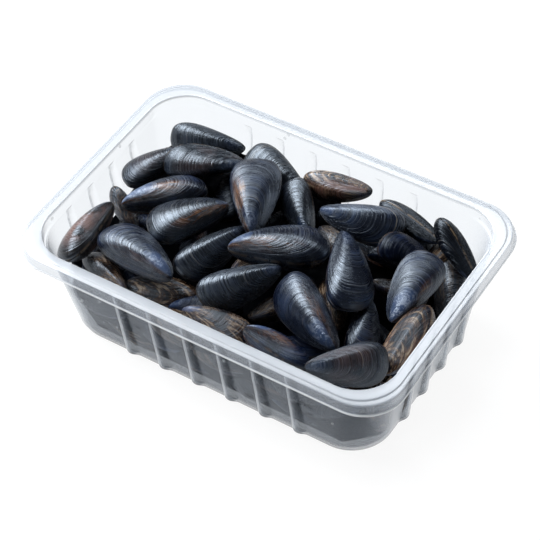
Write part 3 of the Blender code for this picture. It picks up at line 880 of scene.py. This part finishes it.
@dataclass
class Tray:
    """The clear tray: flange, hanging skirt, ribbed walls and flat floor, in millimetres.

    Attributes:
        length: Length over the flange.
        width: Width over the flange.
        height: Height of the flange's top.
        corner_radius: Radius of every ring's corners.
        corner_steps: Steps round a corner.
        plastic: Thickness of the skin.
        inset_at_rim: Inset of the wall's inner face at the rim.
        inset_at_floor: The same at the floor.
        rib_counts: Ribs in each long and each short wall.
        rib_pitches: Distance from rib to rib in them.
        rib_shift: How far the ribs stand from the wall's middle.
        rib_steps: Steps over a rib.
        fillet: How far from a crease its rounding starts.
        fillet_share: The most of the way to the next ring that the rounding takes.
        fillet_steps: Steps over a rounding.
        smooth_angle: Edges sharper than this, in degrees, stay sharp.
    """

    length: float = 265.0
    width: float = 180.0
    height: float = 79.0
    corner_radius: float = 27.0
    corner_steps: int = 16
    plastic: float = 0.9
    inset_at_rim: float = 9.9
    inset_at_floor: float = 20.6
    rib_counts: tuple[int, int] = (6, 4)
    rib_pitches: tuple[float, float] = (24.5, 22.5)
    rib_shift: float = 4.0
    rib_steps: int = 10
    fillet: float = 0.5
    fillet_share: float = 0.42
    fillet_steps: int = 3
    smooth_angle: float = 38.0

    def wall_inset(self, z: float) -> float:
        """Return the inset of the wall's inner face at a height above the base."""
        depth = (self.height - z) / self.height
        return self.inset_at_rim + (self.inset_at_floor - self.inset_at_rim) * depth

    def levels(self) -> list[Ring]:
        """List the levels of the skin.

        Returns:
            Its rings, from the inner floor over the rim to the base.
        """
        inset = self.wall_inset
        skin = self.plastic
        under = self.height - 0.5 - skin
        return [
            Ring(24.0, 1.2),
            Ring(21.2, 2.6),
            Ring(inset(6.5), 6.5, 3.2, 9.0),
            Ring(inset(65.0), 65.0, 1.3, 7.2),
            Ring(inset(70.3), 70.3, 0.5, 6.0),
            Ring(inset(71.6), 71.6),
            Ring(inset(72.3), 72.3, ledge=1.8),
            Ring(inset(77.2), 77.2, ledge=1.1),
            # dense above 1 at the flange's two steps draws dark lines of painted shade
            Ring(9.1, 78.7, dense=1.2),
            Ring(8.4, 79.0, dense=1.0),
            Ring(3.6, 79.0, dense=1.0),
            Ring(3.1, 78.5, dense=1.3),
            Ring(0.9, 78.5, dense=0.8),
            Ring(0.0, 77.6, dense=0.4),
            Ring(-0.2, 73.8, dense=0.4),
            Ring(-1.3, 72.9, dense=0.4),
            Ring(-1.3, 71.7, dense=0.4),
            Ring(-0.4, 71.7, dense=0.1),
            Ring(0.7, 74.1),
            Ring(1.3, under),
            Ring(8.4, under, ledge=1.1),
            Ring(inset(72.3) - skin, 71.4, ledge=1.8),
            Ring(inset(72.3) - 0.7, 70.7),
            Ring(inset(70.3) - skin, 69.5, 0.5, 6.0),
            Ring(inset(65.0) - skin, 64.2, 1.3, 7.2),
            Ring(inset(6.5) - skin, 5.8, 3.2, 9.0),
            Ring(20.4, 1.0),
            Ring(22.5, 0.0),
        ]

    def stations(self, ring: Ring) -> list[tuple[float, float, float, float]]:
        """Walk once round a ring, counter-clockwise from the front wall's left end.

        Args:
            ring: The ring. Its ribs may have no depth, but their points are there.

        Returns:
            Its points and their density, equally many for each ring.
        """
        half_x = self.length / 2 - ring.inset - self.corner_radius
        half_y = self.width / 2 - ring.inset - self.corner_radius
        points = []
        for side in range(4):
            half, reach = ((half_x, half_y), (half_y, half_x))[side % 2]
            count, pitch = self.rib_counts[side % 2], self.rib_pitches[side % 2]
            straight = [(-half, 0.0)]
            for rib in range(count):
                middle = (rib - (count - 1) / 2) * pitch + self.rib_shift
                for step in range(self.rib_steps + 1):
                    angle = math.pi * (step / self.rib_steps - 0.5)
                    out = math.cos(angle) * ring.rib_depth
                    straight.append((middle + math.sin(angle) * ring.rib_width / 2, out))
            straight.append((half, 0.0))
            walk = [(along, -reach - self.corner_radius - out) for along, out in straight]
            for step in range(1, self.corner_steps):
                share = step / self.corner_steps
                angle = math.radians(90 * share - 90)
                radius = self.corner_radius + ring.ledge * math.sin(math.pi * share) ** 0.5
                walk.append((half + radius * math.cos(angle), radius * math.sin(angle) - reach))
            turn = Matrix.Rotation(math.radians(90 * side), 2)
            points.extend((*(turn @ Vector(spot)), ring.z, ring.dense) for spot in walk)
        return points

    def rounded(self, rings: list[np.ndarray]) -> list[np.ndarray]:
        """Round the skin's creases: each inner ring becomes a few rings on an arc.

        Args:
            rings: The points of each ring, with their density.

        Returns:
            The points of the finer rings.
        """
        smooth = [rings[0]]
        for before, here, after in zip(rings, rings[1:], rings[2:]):
            ends = []
            for other in (before, after):
                span = np.linalg.norm((other - here)[:, :3], axis=1)[:, None]
                share = np.minimum(self.fillet / np.maximum(span, 1e-6), self.fillet_share)
                ends.append(here + (other - here) * share)
            for step in range(self.fillet_steps + 1):
                share = step / self.fillet_steps
                near, far = (1 - share) ** 2, share**2
                smooth.append(near * ends[0] + (1 - near - far) * here + far * ends[1])
        smooth.append(rings[-1])
        return smooth

    def model(self) -> bpy.types.Object:
        """Model the skin: a ring of points, extruded from level to level and closed.

        Returns:
            The skin, with the number dense on its points.
        """
        rings = self.rounded([np.array(self.stations(ring)) for ring in self.levels()])
        bpy.ops.object.select_all(action="DESELECT")
        bpy.ops.mesh.primitive_circle_add(vertices=len(rings[0]), radius=0.1)
        tray = bpy.context.active_object
        tray.name = "tray_skin"
        station = tray.data.attributes.new("station", "INT", "POINT")
        station.data.foreach_set("value", range(len(rings[0])))
        tray.data.attributes.new("dense", "FLOAT", "POINT")
        bpy.ops.object.mode_set(mode="EDIT")
        bpy.ops.mesh.select_all(action="SELECT")
        for level, ring in enumerate(rings):
            if level:
                bpy.ops.mesh.extrude_edges_move()
            shape = bmesh.from_edit_mesh(tray.data)
            number = shape.verts.layers.int["station"]
            density = shape.verts.layers.float["dense"]
            for vert in shape.verts:
                if vert.select:
                    *spot, vert[density] = ring[vert[number]]
                    vert.co = Vector(spot) * MM
        bpy.ops.mesh.select_all(action="SELECT")
        bpy.ops.mesh.fill_holes(sides=0)
        bpy.ops.mesh.normals_make_consistent(inside=False)
        bpy.ops.object.mode_set(mode="OBJECT")
        tray.data.attributes.remove(tray.data.attributes["station"])
        bpy.ops.object.shade_smooth_by_angle(angle=math.radians(self.smooth_angle))
        return tray

    def build(self) -> None:
        """Model and dress the tray."""
        tray = self.model()
        cover(tray, PlasticFinish().dress("clear_plastic"))
        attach(tray, BODY)
        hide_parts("tray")
        log.info("%s: %d faces", tray.name, len(tray.data.polygons))


@dataclass(frozen=True)
class PlasticFinish:
    """Clear, slightly frosty plastic, denser in its flange and where it is seen edge on.

    Attributes:
        colour: Colour of the haze in the walls.
        dense_colour: Colour of the haze in the flange.
        skirt_colour: Colour of the haze in the skirt.
        edge_colour: Colour of the haze where a face is seen at a slant.
        lip_highlight_colour: Colour of the painted highlight, a bright line along the skirt's foot.
        step_shade_colour: Colour of the painted shade, dark lines along the flange's steps.
        foot_shade_colour: Colour of the painted shade at the foot of the walls.
        drop_colour: Colour of the droplets.
        tint: What is left of the light that passes one face.
        haze: How much of what is behind each face the haze hides.
        frost_haze: Added where the walls are frosty.
        dense_haze: Added in the flange.
        edge_haze: Added where a face is seen at a slant.
        drop_haze: Added in the droplets.
        foot_shade_haze: Added at the foot of the walls, under its painted shade.
        lip_highlight_haze: Added along the skirt's foot, under its painted highlight.
        roughness: Roughness of the surface.
        foot: Heights between which the walls' foot and its painted shade begin, in metres, as are the
            next.
        touched: Heights between which shells begin to touch the walls.
        lip: Heights between which the painted highlight, a bright line, begins, and those where it
            ends.
        top: Heights between which the flange begins.
        frost_scale: Noise of the frost for each metre.
        spot_scale: Noise of the places that shells touch, for each metre along each axis.
        drop_scale: Places for a droplet to each metre.
        drop_size: Radii between which a droplet begins, as shares of its place.
        drop_limit: The greater, from 0 to 1, the fewer places hold a droplet.
    """

    colour: Colour = (0.28, 0.34, 0.43)
    dense_colour: Colour = (0.40, 0.43, 0.47)
    skirt_colour: Colour = (0.58, 0.62, 0.68)
    edge_colour: Colour = (0.90, 0.915, 0.93)
    lip_highlight_colour: Colour = (0.92, 0.94, 0.96)
    step_shade_colour: Colour = (0.26, 0.28, 0.31)
    foot_shade_colour: Colour = (0.10, 0.11, 0.125)
    drop_colour: Colour = (0.70, 0.73, 0.75)
    tint: Colour = (0.95, 0.963, 0.976)
    haze: float = 0.035
    frost_haze: float = 0.03
    dense_haze: float = 0.55
    edge_haze: float = 1.80
    drop_haze: float = 0.25
    foot_shade_haze: float = 0.35
    lip_highlight_haze: float = 0.40
    roughness: float = 0.17
    foot: tuple[float, float] = (0.0105, 0.0025)
    touched: tuple[float, float] = (0.055, 0.045)
    lip: tuple[float, float, float, float] = (0.0715, 0.0719, 0.0735, 0.0730)
    top: tuple[float, float] = (0.0772, 0.0783)
    frost_scale: float = 30.0
    spot_scale: tuple[float, float, float] = (60.0, 60.0, 230.0)
    drop_scale: float = 95.0
    drop_size: tuple[float, float] = (0.15, 0.10)
    drop_limit: float = 0.72

    def dress(self, name: str) -> bpy.types.Material:
        """Make the material.

        Args:
            name: The material's name.

        Returns:
            The material.
        """
        graph = Graph(name)
        place = graph.place()
        level = graph.add("ShaderNodeSeparateXYZ", {}, {"Vector": place}, "Z")
        dense = graph.attribute("dense")
        frost = graph.noise(place, self.frost_scale, 2.0, 0.5)
        spots = graph.noise(graph.stretched(self.spot_scale), 1.0, 1.0)
        slant = graph.add("ShaderNodeLayerWeight", {}, {"Blend": 0.5}, "Facing")
        wall = dense.step(0.2, 0.0)
        # painted shade: the walls darken towards their foot
        foot = level.step(*self.foot) * wall
        touched = spots.step(0.68, 0.74) * wall * level.step(*self.touched)
        drops = self.add_drops(graph, place) * wall
        # painted shade: dark lines along the flange's steps
        line = dense.step(1.05, 1.35)
        # painted highlight: a bright line along the skirt's foot
        lip = level.step(*self.lip[:2]) * level.step(*self.lip[2:]) * (1.0 - wall)
        cover = self.haze + frost * self.frost_haze + dense * self.dense_haze
        cover = cover + slant**5.0 * self.edge_haze
        cover = cover * (1.0 - touched * 0.5) + drops * self.drop_haze
        cover = cover + foot * self.foot_shade_haze + lip * self.lip_highlight_haze
        colour = graph.blend(1.0 - wall, self.colour, self.skirt_colour)
        colour = graph.blend(dense * level.step(*self.top), colour, self.dense_colour)
        colour = graph.blend(slant**3.0, colour, self.edge_colour)
        # the painted highlight along the skirt's foot
        colour = graph.blend(lip, colour, self.lip_highlight_colour)
        # the painted shade along the flange's steps
        colour = graph.blend(line, colour, self.step_shade_colour)
        # painted shade at the foot of the walls
        colour = graph.blend(foot * 0.85, colour, self.foot_shade_colour)
        inputs = {
            "Base Color": graph.blend(drops, colour, self.drop_colour),
            "Roughness": self.roughness + frost * 0.10,
            "IOR": 1.8,
            "Normal": graph.bump(drops, 0.0002, 0.3),
        }
        solid = graph.add("ShaderNodeBsdfPrincipled", {}, inputs)
        clear = graph.add("ShaderNodeBsdfTransparent", {}, {"Color": rgba(self.tint)})
        mixed = {"Fac": cover, "Shader": clear, "Shader_001": solid}
        return graph.finish(graph.add("ShaderNodeMixShader", {}, mixed))

    def add_drops(self, graph: Graph, place: Wire) -> Wire:
        """Place a few small round droplets.

        Args:
            graph: The material's graph.
            place: The object coordinates.

        Returns:
            Where the droplets are.
        """
        cells = {"Vector": place, "Scale": self.drop_scale, "Randomness": 0.9}
        near = graph.add("ShaderNodeTexVoronoi", {}, cells, "Distance")
        chosen = graph.add("ShaderNodeTexVoronoi", {}, cells, "Color")
        return near.step(*self.drop_size) * graph.math("GREATER_THAN", chosen, self.drop_limit)


# Bed


class Solid:
    """A convex solid in millimetres, for telling how far it is from others."""

    def __init__(self, points: np.ndarray, faces: np.ndarray, centre: np.ndarray) -> None:
        """Keep a solid.

        Args:
            points: Its corners about its centre.
            faces: Its triangles, as rows of corner numbers.
            centre: Its centre.
        """
        self.points = points
        self.faces = faces
        self.centre = centre.astype(float)

    def world(self) -> np.ndarray:
        """Return its corners in the tray's frame."""
        return self.points + self.centre

    def reach(self) -> float:
        """Return the greatest distance of a corner from the centre."""
        return float(np.linalg.norm(self.points, axis=1).max())

    def facings(self) -> np.ndarray:
        """Find which way its triangles face.

        Returns:
            One outward direction for each.
        """
        a, b, c = (self.points[self.faces[:, k]] for k in range(3))
        normal = np.cross(b - a, c - a)
        return normal / np.maximum(np.linalg.norm(normal, axis=1), 1e-12)[:, None]


class Place(NamedTuple):
    """Where a mussel of the bed is meant to lie, in millimetres and degrees."""

    x: float
    y: float
    z: float
    turn: Turn
    length: float


def even_directions(count: int) -> np.ndarray:
    """Spread directions evenly over a sphere.

    Args:
        count: How many.

    Returns:
        One direction in each row.
    """
    index = np.arange(count) + 0.5
    tilt = np.arccos(1 - 2 * index / count)
    turn = math.pi * (1 + 5**0.5) * index
    return np.stack([np.cos(turn) * np.sin(tilt), np.sin(turn) * np.sin(tilt), np.cos(tilt)], 1)


def off(draw: random.Random, most: float) -> float:
    """Draw a number that is off 0 by the most given, either way, or by less."""
    return draw.uniform(-most, most)


# Where the coarse shell that a fit is tried with has its sections, and their corners
COARSE_SECTIONS = (0.1, 0.38, 0.7, 0.94)
COARSE_HEIGHTS = (0.5, -0.1, -0.65)


@dataclass
class Bed:
    """The mussels below the heap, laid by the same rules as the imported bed.

    Lengths are millimetres, and angles degrees.

    Attributes:
        tray: The tray that it lies in.
        mussels: Places the mussels.
        seed: Draws how the mussels lie.
        tiers: Heights of the rows along the walls.
        pitch: Distance from mussel to mussel in a row.
        inset: Distance of a row from the wall.
        layer_grid: How many mussels lie along and across the top layer.
        layer_half: Half the layer's length and width.
        layer_top: Height of the layer.
        jitter: How far a mussel of the layer may be off its place.
        layer_pitch: How far its pitch may be off level.
        layer_roll: How far its roll may be off flat.
        edge_heading: How far a mussel at the wall may be turned out of its row.
        edge_pitch: How far its pitch may be off level.
        edge_rolls: Rolls of which it gets one.
        edge_roll: How far its roll may be off that.
        edge_lift: How far it may be above or below its row.
        fillers: Mussels that close gaps behind the heap's right end.
        lengths: Least and greatest length of a mussel.
        drop: How far a mussel that doesn't fit is lowered at a time.
        drop_steps: How often it is lowered at each size.
        shrink_step: Share of its length that it then loses.
        shrink_steps: How many sizes are tried.
        push_steps: How often a mussel is pushed in from the walls.
        directions: How many directions the gap to a neighbour is looked for in.
        gap: Least gap to a mussel of the heap.
        wall_gap: Least gap to the walls and the floor.
        slack: How far a mussel may still be past that gap.
        floor: Thickness of the floor, with its unevenness.
        floor_round: Height up to which the floor is rounded into the walls.
        rim_gap: Least distance below the tray's top.
        swell: Size of a shell, as a multiple of the one that was tried.
        core_voxel: Fineness of the core.
        core_inset: How far the core is drawn in.
        seed_step: How far the growth lines shift from one finish to the next.
        first_seed: Draws the growth steps of the first mussel.
    """

    tray: Tray
    mussels: Mussels
    seed: int = 11
    tiers: tuple[float, ...] = (13.0, 32.0, 50.0)
    pitch: float = 42.0
    inset: float = 11.0
    layer_grid: tuple[int, int] = (6, 3)
    layer_half: tuple[float, float] = (88.0, 40.0)
    layer_top: float = 45.0
    jitter: float = 5.0
    layer_pitch: float = 8.0
    layer_roll: float = 35.0
    edge_heading: float = 25.0
    edge_pitch: float = 14.0
    edge_rolls: tuple[float, ...] = (70, 110, -70, -110)
    edge_roll: float = 15.0
    edge_lift: float = 2.0
    fillers: tuple[Place, ...] = (
        Place(75.9, 40.1, 58.6, Turn(222.5, 33.6, 131.6), 45.3),
        Place(87.2, 59.3, 39.3, Turn(52.1, 37.1, 16.9), 42.7),
    )
    lengths: tuple[float, float] = (40.0, 50.0)
    drop: float = 1.5
    drop_steps: int = 10
    shrink_step: float = 0.06
    shrink_steps: int = 5
    push_steps: int = 8
    directions: int = 600
    gap: float = 0.6
    wall_gap: float = 0.6
    slack: float = 0.01
    floor: float = 1.2
    floor_round: float = 4.5
    rim_gap: float = 1.0
    swell: float = 1.012
    core_voxel: float = 2.4
    core_inset: float = 1.2
    seed_step: float = 11.3
    first_seed: int = 100

    def layer_places(self, draw: random.Random) -> list[Place]:
        """Lay out the bed's top layer, an uneven grid under the heap.

        Args:
            draw: Draws how each mussel lies.

        Returns:
            A place for each mussel.
        """
        places = []
        across, deep = self.layer_grid
        for i in range(across):
            for j in range(deep):
                x = self.layer_half[0] * (2 * i / (across - 1) - 1) + off(draw, self.jitter)
                y = self.layer_half[1] * (2 * j / (deep - 1) - 1) + off(draw, self.jitter)
                length = draw.uniform(*self.lengths)
                heading = draw.uniform(0, 360)
                pitch = off(draw, self.layer_pitch)
                roll = draw.choice((0, 180)) + off(draw, self.layer_roll)
                places.append(Place(x, y, self.layer_top, Turn(heading, pitch, roll), length))
        return places

    def edge_places(self, draw: random.Random) -> list[Place]:
        """Lay out rows along the walls, the highest along the front wall alone.

        Args:
            draw: Draws how each mussel lies.

        Returns:
            A place for each mussel.
        """
        places = []
        for tier, z in enumerate(self.tiers):
            inset = self.tray.wall_inset(z) + self.inset
            half_x = self.tray.length / 2 - inset
            half_y = self.tray.width / 2 - inset
            path = 4 * (half_x + half_y)
            count = round(path / self.pitch)
            for index in range(count):
                along = (index + 0.5 * tier) * path / count
                for side in range(4):
                    run, reach = ((half_x, half_y), (half_y, half_x))[side % 2]
                    if along <= 2 * run:
                        break
                    along -= 2 * run
                if z == self.tiers[-1] and side != 0:
                    continue
                x, y = Matrix.Rotation(math.radians(90 * side), 2) @ Vector((along - run, -reach))
                heading = 90 * side + draw.choice((0, 180)) + off(draw, self.edge_heading)
                roll = draw.choice(self.edge_rolls) + off(draw, self.edge_roll)
                length = draw.uniform(*self.lengths)
                lift = z + off(draw, self.edge_lift)
                turn = Turn(heading, off(draw, self.edge_pitch), roll)
                places.append(Place(x, y, lift, turn, length))
        return places

    def wall_push(self, points: np.ndarray) -> np.ndarray:
        """Find the move that brings points back inside the tray.

        Args:
            points: The points.

        Returns:
            The move along x, y and z.
        """
        rounding = np.maximum(self.floor_round - points[:, 2], 0)
        inset = self.tray.wall_inset(points[:, 2]) + self.wall_gap + rounding
        radius = self.tray.corner_radius
        straight = np.stack([self.tray.length / 2 - inset, self.tray.width / 2 - inset], 1) - radius
        outside = np.maximum(np.abs(points[:, :2]) - straight, 0)
        distance = np.linalg.norm(outside, axis=1) - radius
        push = np.zeros(3)
        worst = int(distance.argmax())
        if distance[worst] > 0:
            away = outside[worst] / np.linalg.norm(outside[worst])
            push[:2] = -np.sign(points[worst, :2]) * away * distance[worst]
        push[2] += max(0.0, self.floor + self.wall_gap - points[:, 2].min())
        push[2] -= max(0.0, points[:, 2].max() - (self.tray.height - self.rim_gap))
        return push

    def bring_inside(self, solid: Solid) -> None:
        """Move a solid in from the walls, floor and rim.

        Args:
            solid: The solid. Its centre changes.
        """
        for _ in range(self.push_steps):
            push = self.wall_push(solid.world())
            if not push.any():
                break
            solid.centre += push

    def fits(self, solid: Solid, heap: list[Solid], spread: np.ndarray) -> bool:
        """Tell whether a solid is clear of the walls and of every mussel of the heap.

        Args:
            solid: The solid.
            heap: The heap's solids.
            spread: Directions in which a gap between two solids is looked for.

        Returns:
            Whether it is.
        """
        if np.abs(self.wall_push(solid.world())).max() > self.slack:
            return False
        for other in heap:
            if np.linalg.norm(other.centre - solid.centre) > other.reach() + solid.reach():
                continue
            trial = np.concatenate([spread, solid.facings(), -other.facings()])
            gap = (other.world() @ trial.T).min(0) - (solid.world() @ trial.T).max(0)
            if gap.max() < self.gap:
                return False
        return True

    @staticmethod
    def coarse_shell() -> tuple[np.ndarray, np.ndarray]:
        """Model the coarse shell that the fit is tried with.

        Returns:
            Its corners, and its triangles as rows of corner numbers.
        """
        points = [(0.0, middle_line(0), 0.0)]
        for t in COARSE_SECTIONS:
            top = middle_line(t) + back_edge(t)
            foot = middle_line(t) - front_edge(t)
            half = (top - foot) / 2
            right = [
                (t, (top + foot) / 2 + v * half, half_thickness(t) * section(v))
                for v in COARSE_HEIGHTS
            ]
            left = [(x, y, -z) for x, y, z in reversed(right)]
            points.extend([(t, top, 0.0), *right, (t, foot, 0.0), *left])
        points.append((1.0, middle_line(1), 0.0))
        last = len(points) - 1
        around = 2 + 2 * len(COARSE_HEIGHTS)
        faces = []
        for k in range(around):
            after = (k + 1) % around
            faces.append((0, 1 + after, 1 + k))
            faces.append((last, last - around + k, last - around + after))
            for a in range(1, last - around, around):
                faces.append((a + k, a + after, a + around + after))
                faces.append((a + k, a + around + after, a + around + k))
        return np.array(points), np.array(faces)

    def heap_solids(self) -> list[Solid]:
        """Read the heap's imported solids.

        Returns:
            The solids, in millimetres.
        """
        solids = []
        for index in range(len(HEAP)):
            mesh = Heap.packed(index)
            mesh.calc_loop_triangles()
            faces = np.array([triangle.vertices for triangle in mesh.loop_triangles])
            corners = read_numbers(mesh.vertices, "co", 3) / MM
            middle = (corners.min(0) + corners.max(0)) / 2
            solids.append(Solid(corners - middle, faces, middle))
        return solids

    def laid(self) -> list[tuple[Place, Solid, float]]:
        """Lay every mussel: lower it and shrink it until it fits, or leave it out.

        Returns:
            For each mussel its place, its solid and its scale.
        """
        unit, faces = self.coarse_shell()
        spread = even_directions(self.directions)
        heap = self.heap_solids()
        draw = random.Random(self.seed)
        rows = []
        for place in (*self.layer_places(draw), *self.edge_places(draw), *self.fillers):
            for shrink in range(self.shrink_steps):
                scale = 1 - shrink * self.shrink_step
                points = ((unit - (0.5, 0, 0)) * place.length * scale) @ place.turn.matrix().T
                solid = Solid(points, faces, np.array([place.x, place.y, place.z]))
                for _ in range(self.drop_steps):
                    self.bring_inside(solid)
                    if self.fits(solid, heap, spread):
                        break
                    solid.centre[2] -= self.drop
                if self.fits(solid, heap, spread):
                    rows.append((place, solid, scale))
                    break
        return rows

    def core(self) -> bpy.types.Object:
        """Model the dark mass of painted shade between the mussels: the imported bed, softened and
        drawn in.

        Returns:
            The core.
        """
        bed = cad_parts["mussel_bed"].copy()
        bed.data = bed.data.copy()
        bed.name = "bed_core_shade"
        bed.hide_render = bed.hide_viewport = False
        for key in list(bed.keys()):
            del bed[key]
        bed.parent = None
        bpy.context.collection.objects.link(bed)
        bpy.ops.object.select_all(action="DESELECT")
        bed.select_set(True)
        bpy.context.view_layer.objects.active = bed
        bpy.ops.object.mode_set(mode="EDIT")
        bpy.ops.mesh.select_all(action="SELECT")
        bpy.ops.mesh.remove_doubles(threshold=MERGE)
        bpy.ops.object.mode_set(mode="OBJECT")
        remesh = bed.modifiers.new("remesh", "REMESH")
        remesh.mode = "VOXEL"
        remesh.voxel_size = self.core_voxel * MM
        bpy.ops.object.modifier_apply(modifier=remesh.name)
        inward = bed.modifiers.new("inward", "DISPLACE")
        inward.strength = -self.core_inset * MM
        inward.mid_level = 0.0
        bpy.ops.object.modifier_apply(modifier=inward.name)
        bpy.ops.object.shade_smooth()
        return bed

    @staticmethod
    def painted_shade_finish(name: str) -> bpy.types.Material:
        """Make the near black, dull finish of the core: painted shade in the gaps between the
        mussels.

        Args:
            name: The material's name.

        Returns:
            The material.
        """
        graph = Graph(name)
        grain = graph.noise(graph.place(), 160.0, 3.0, 0.6)
        # two near black tones of painted shade, varied by a grain
        black, shade_grey = (0.0012, 0.0014, 0.0020), (0.0050, 0.0052, 0.0060)
        colour = graph.blend(grain.step(0.45, 0.75), black, shade_grey)
        inputs = {"Base Color": colour, "Roughness": 1.0, "Specular IOR Level": 0.0}
        return graph.finish(graph.add("ShaderNodeBsdfPrincipled", {}, inputs))

    def build(self) -> None:
        """Lay and dress the bed."""
        self.mussels.prepare("bed_shell")
        finishes = (
            ShellFinish(Tone.BLACK, rings=0.3, shine=0.15),
            ShellFinish(Tone.NAVY, rings=0.3, beak=0.5, shine=0.15),
            ShellFinish(Tone.BROWN, rings=0.3, streaks=0.5, shine=0.15),
            ShellFinish(Tone.SLATE, rings=0.5, beak=0.2, brown=0.5, shine=0.15),
        )
        materials = [
            finish.dress(f"mussel_bed_shell_{index + 1}", self.seed_step * index)
            for index, finish in enumerate(finishes)
        ]
        rows = self.laid()
        for index, (place, solid, scale) in enumerate(rows):
            size = np.full(3, place.length * scale * self.swell * MM)
            name = f"bed_shell_{index + 1:02d}"
            seed = self.first_seed + index
            piece = self.mussels.copy(name, place.turn, size, solid.centre * MM, seed)
            cover(piece, materials[index % len(materials)])
            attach(piece, BODY)
            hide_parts("mussel_bed")
        log.info("bed: %d mussels", len(rows))
        self.mussels.discard()
        # the core paints the shade in the gaps between the mussels
        core = self.core()
        cover(core, self.painted_shade_finish("bed_core_shade"))
        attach(core, BODY)
        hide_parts("mussel_bed")
        log.info("%s: %d faces", core.name, len(core.data.polygons))


# Studio


def standing(place: tuple[float, float, float], turn: Matrix) -> Matrix:
    """Return the matrix of an object at a place, turned."""
    return Matrix.Translation(place) @ turn.to_4x4()


@dataclass
class Softbox:
    """A flat lamp that faces the mussels, in metres and watts.

    Attributes:
        name: The lamp's name.
        place: Where it hangs.
        size: Its width and height.
        power: Its power.
        colour: Its colour.
        target: What it faces.
    """

    name: str
    place: tuple[float, float, float]
    size: tuple[float, float]
    power: float
    colour: Colour
    target: tuple[float, float, float] = (0.0, 0.0, 0.04)

    def build(self) -> None:
        """Add the lamp."""
        lamp = bpy.data.lights.new(self.name, "AREA")
        lamp.shape = "RECTANGLE"
        lamp.size, lamp.size_y = self.size
        lamp.energy = self.power
        lamp.color = self.colour
        holder = bpy.data.objects.new(self.name, lamp)
        aim = Vector(self.target) - Vector(self.place)
        holder.matrix_world = standing(self.place, aim.to_track_quat("-Z", "Y").to_matrix())
        bpy.context.collection.objects.link(holder)


@dataclass
class Studio:
    """A pale floor, soft lamps and the camera at the photograph's angle.

    Attributes:
        azimuth: How far round from the front the camera stands, in degrees.
        elevation: How far up it stands, in degrees.
        roll: How far it leans, in degrees.
        lens: Its focal length in millimetres.
        sensor: Width of its sensor in millimetres.
        place: Where it stands, in metres.
        sky: Colour of the even light from all round.
        world: Strength of that light.
        floor_glow: How much light the floor gives off.
        lamps: The lamps.
    """

    azimuth: float = 35.106
    elevation: float = 47.752
    roll: float = -3.664
    lens: float = 127.8
    sensor: float = 36.0
    place: tuple[float, float, float] = (0.46053, -0.65369, 0.92467)
    sky: Colour = (0.95, 0.975, 1.0)
    world: float = 0.08
    floor_glow: float = 0.92
    lamps: tuple[Softbox, ...] = (
        Softbox("key", (-1.7, 0.1, 2.0), (1.9, 1.9), 145.0, (0.97, 0.985, 1.0)),
        Softbox("wide", (-1.9, 0.1, 2.2), (4.0, 4.0), 40.0, (0.95, 0.975, 1.0)),
        Softbox("top", (-0.2, 1.6, 2.2), (1.6, 0.8), 26.0, (0.94, 0.97, 1.0)),
    )

    def add_camera(self) -> None:
        """Add the camera."""
        turn, tilt = math.radians(self.azimuth), math.radians(self.elevation)
        level = math.cos(tilt)
        back = Vector((math.sin(turn) * level, -math.cos(turn) * level, math.sin(tilt)))
        right = Vector((math.cos(turn), math.sin(turn), 0.0))
        up = back.cross(right)
        roll = math.radians(self.roll)
        across = right * math.cos(roll) + up * math.sin(roll)
        upward = up * math.cos(roll) - right * math.sin(roll)
        data = bpy.data.cameras.new("camera")
        data.lens = self.lens
        data.sensor_width = self.sensor
        camera = bpy.data.objects.new("camera", data)
        camera.matrix_world = standing(self.place, Matrix((across, upward, back)).transposed())
        bpy.context.collection.objects.link(camera)
        bpy.context.scene.camera = camera

    def add_floor(self) -> None:
        """Add the floor, white and evenly lit."""
        bpy.ops.object.select_all(action="DESELECT")
        bpy.ops.mesh.primitive_plane_add(size=30.0, location=(0.0, 0.0, 0.0))
        floor = bpy.context.active_object
        floor.name = "floor"
        graph = Graph("floor")
        inputs = {
            "Base Color": (0.08, 0.08, 0.08, 1.0),
            "Roughness": 0.9,
            "Emission Color": (1.0, 1.0, 1.0, 1.0),
            "Emission Strength": self.floor_glow,
        }
        floor.data.materials.append(graph.finish(graph.add("ShaderNodeBsdfPrincipled", {}, inputs)))

    def add_world(self) -> None:
        """Add the even light from all round."""
        world = bpy.data.worlds.new("world")
        world.use_nodes = True
        light = world.node_tree.nodes["Background"]
        light.inputs["Color"].default_value = rgba(self.sky)
        light.inputs["Strength"].default_value = self.world
        bpy.context.scene.world = world

    def build(self) -> None:
        """Set the stage."""
        self.add_camera()
        self.add_floor()
        self.add_world()
        for lamp in self.lamps:
            lamp.build()
        bpy.context.scene.view_settings.view_transform = "Standard"


def main() -> None:
    """Build the studio, the tray, the heap and the bed, in order."""
    logging.basicConfig(level=logging.INFO, format="%(message)s")
    Studio().build()
    tray = Tray()
    tray.build()
    Heap(Mussels(ShellForm())).build()
    Bed(tray, Mussels(ShellForm(rays=28, rings=40))).build()


if __name__ == "__main__":
    main()
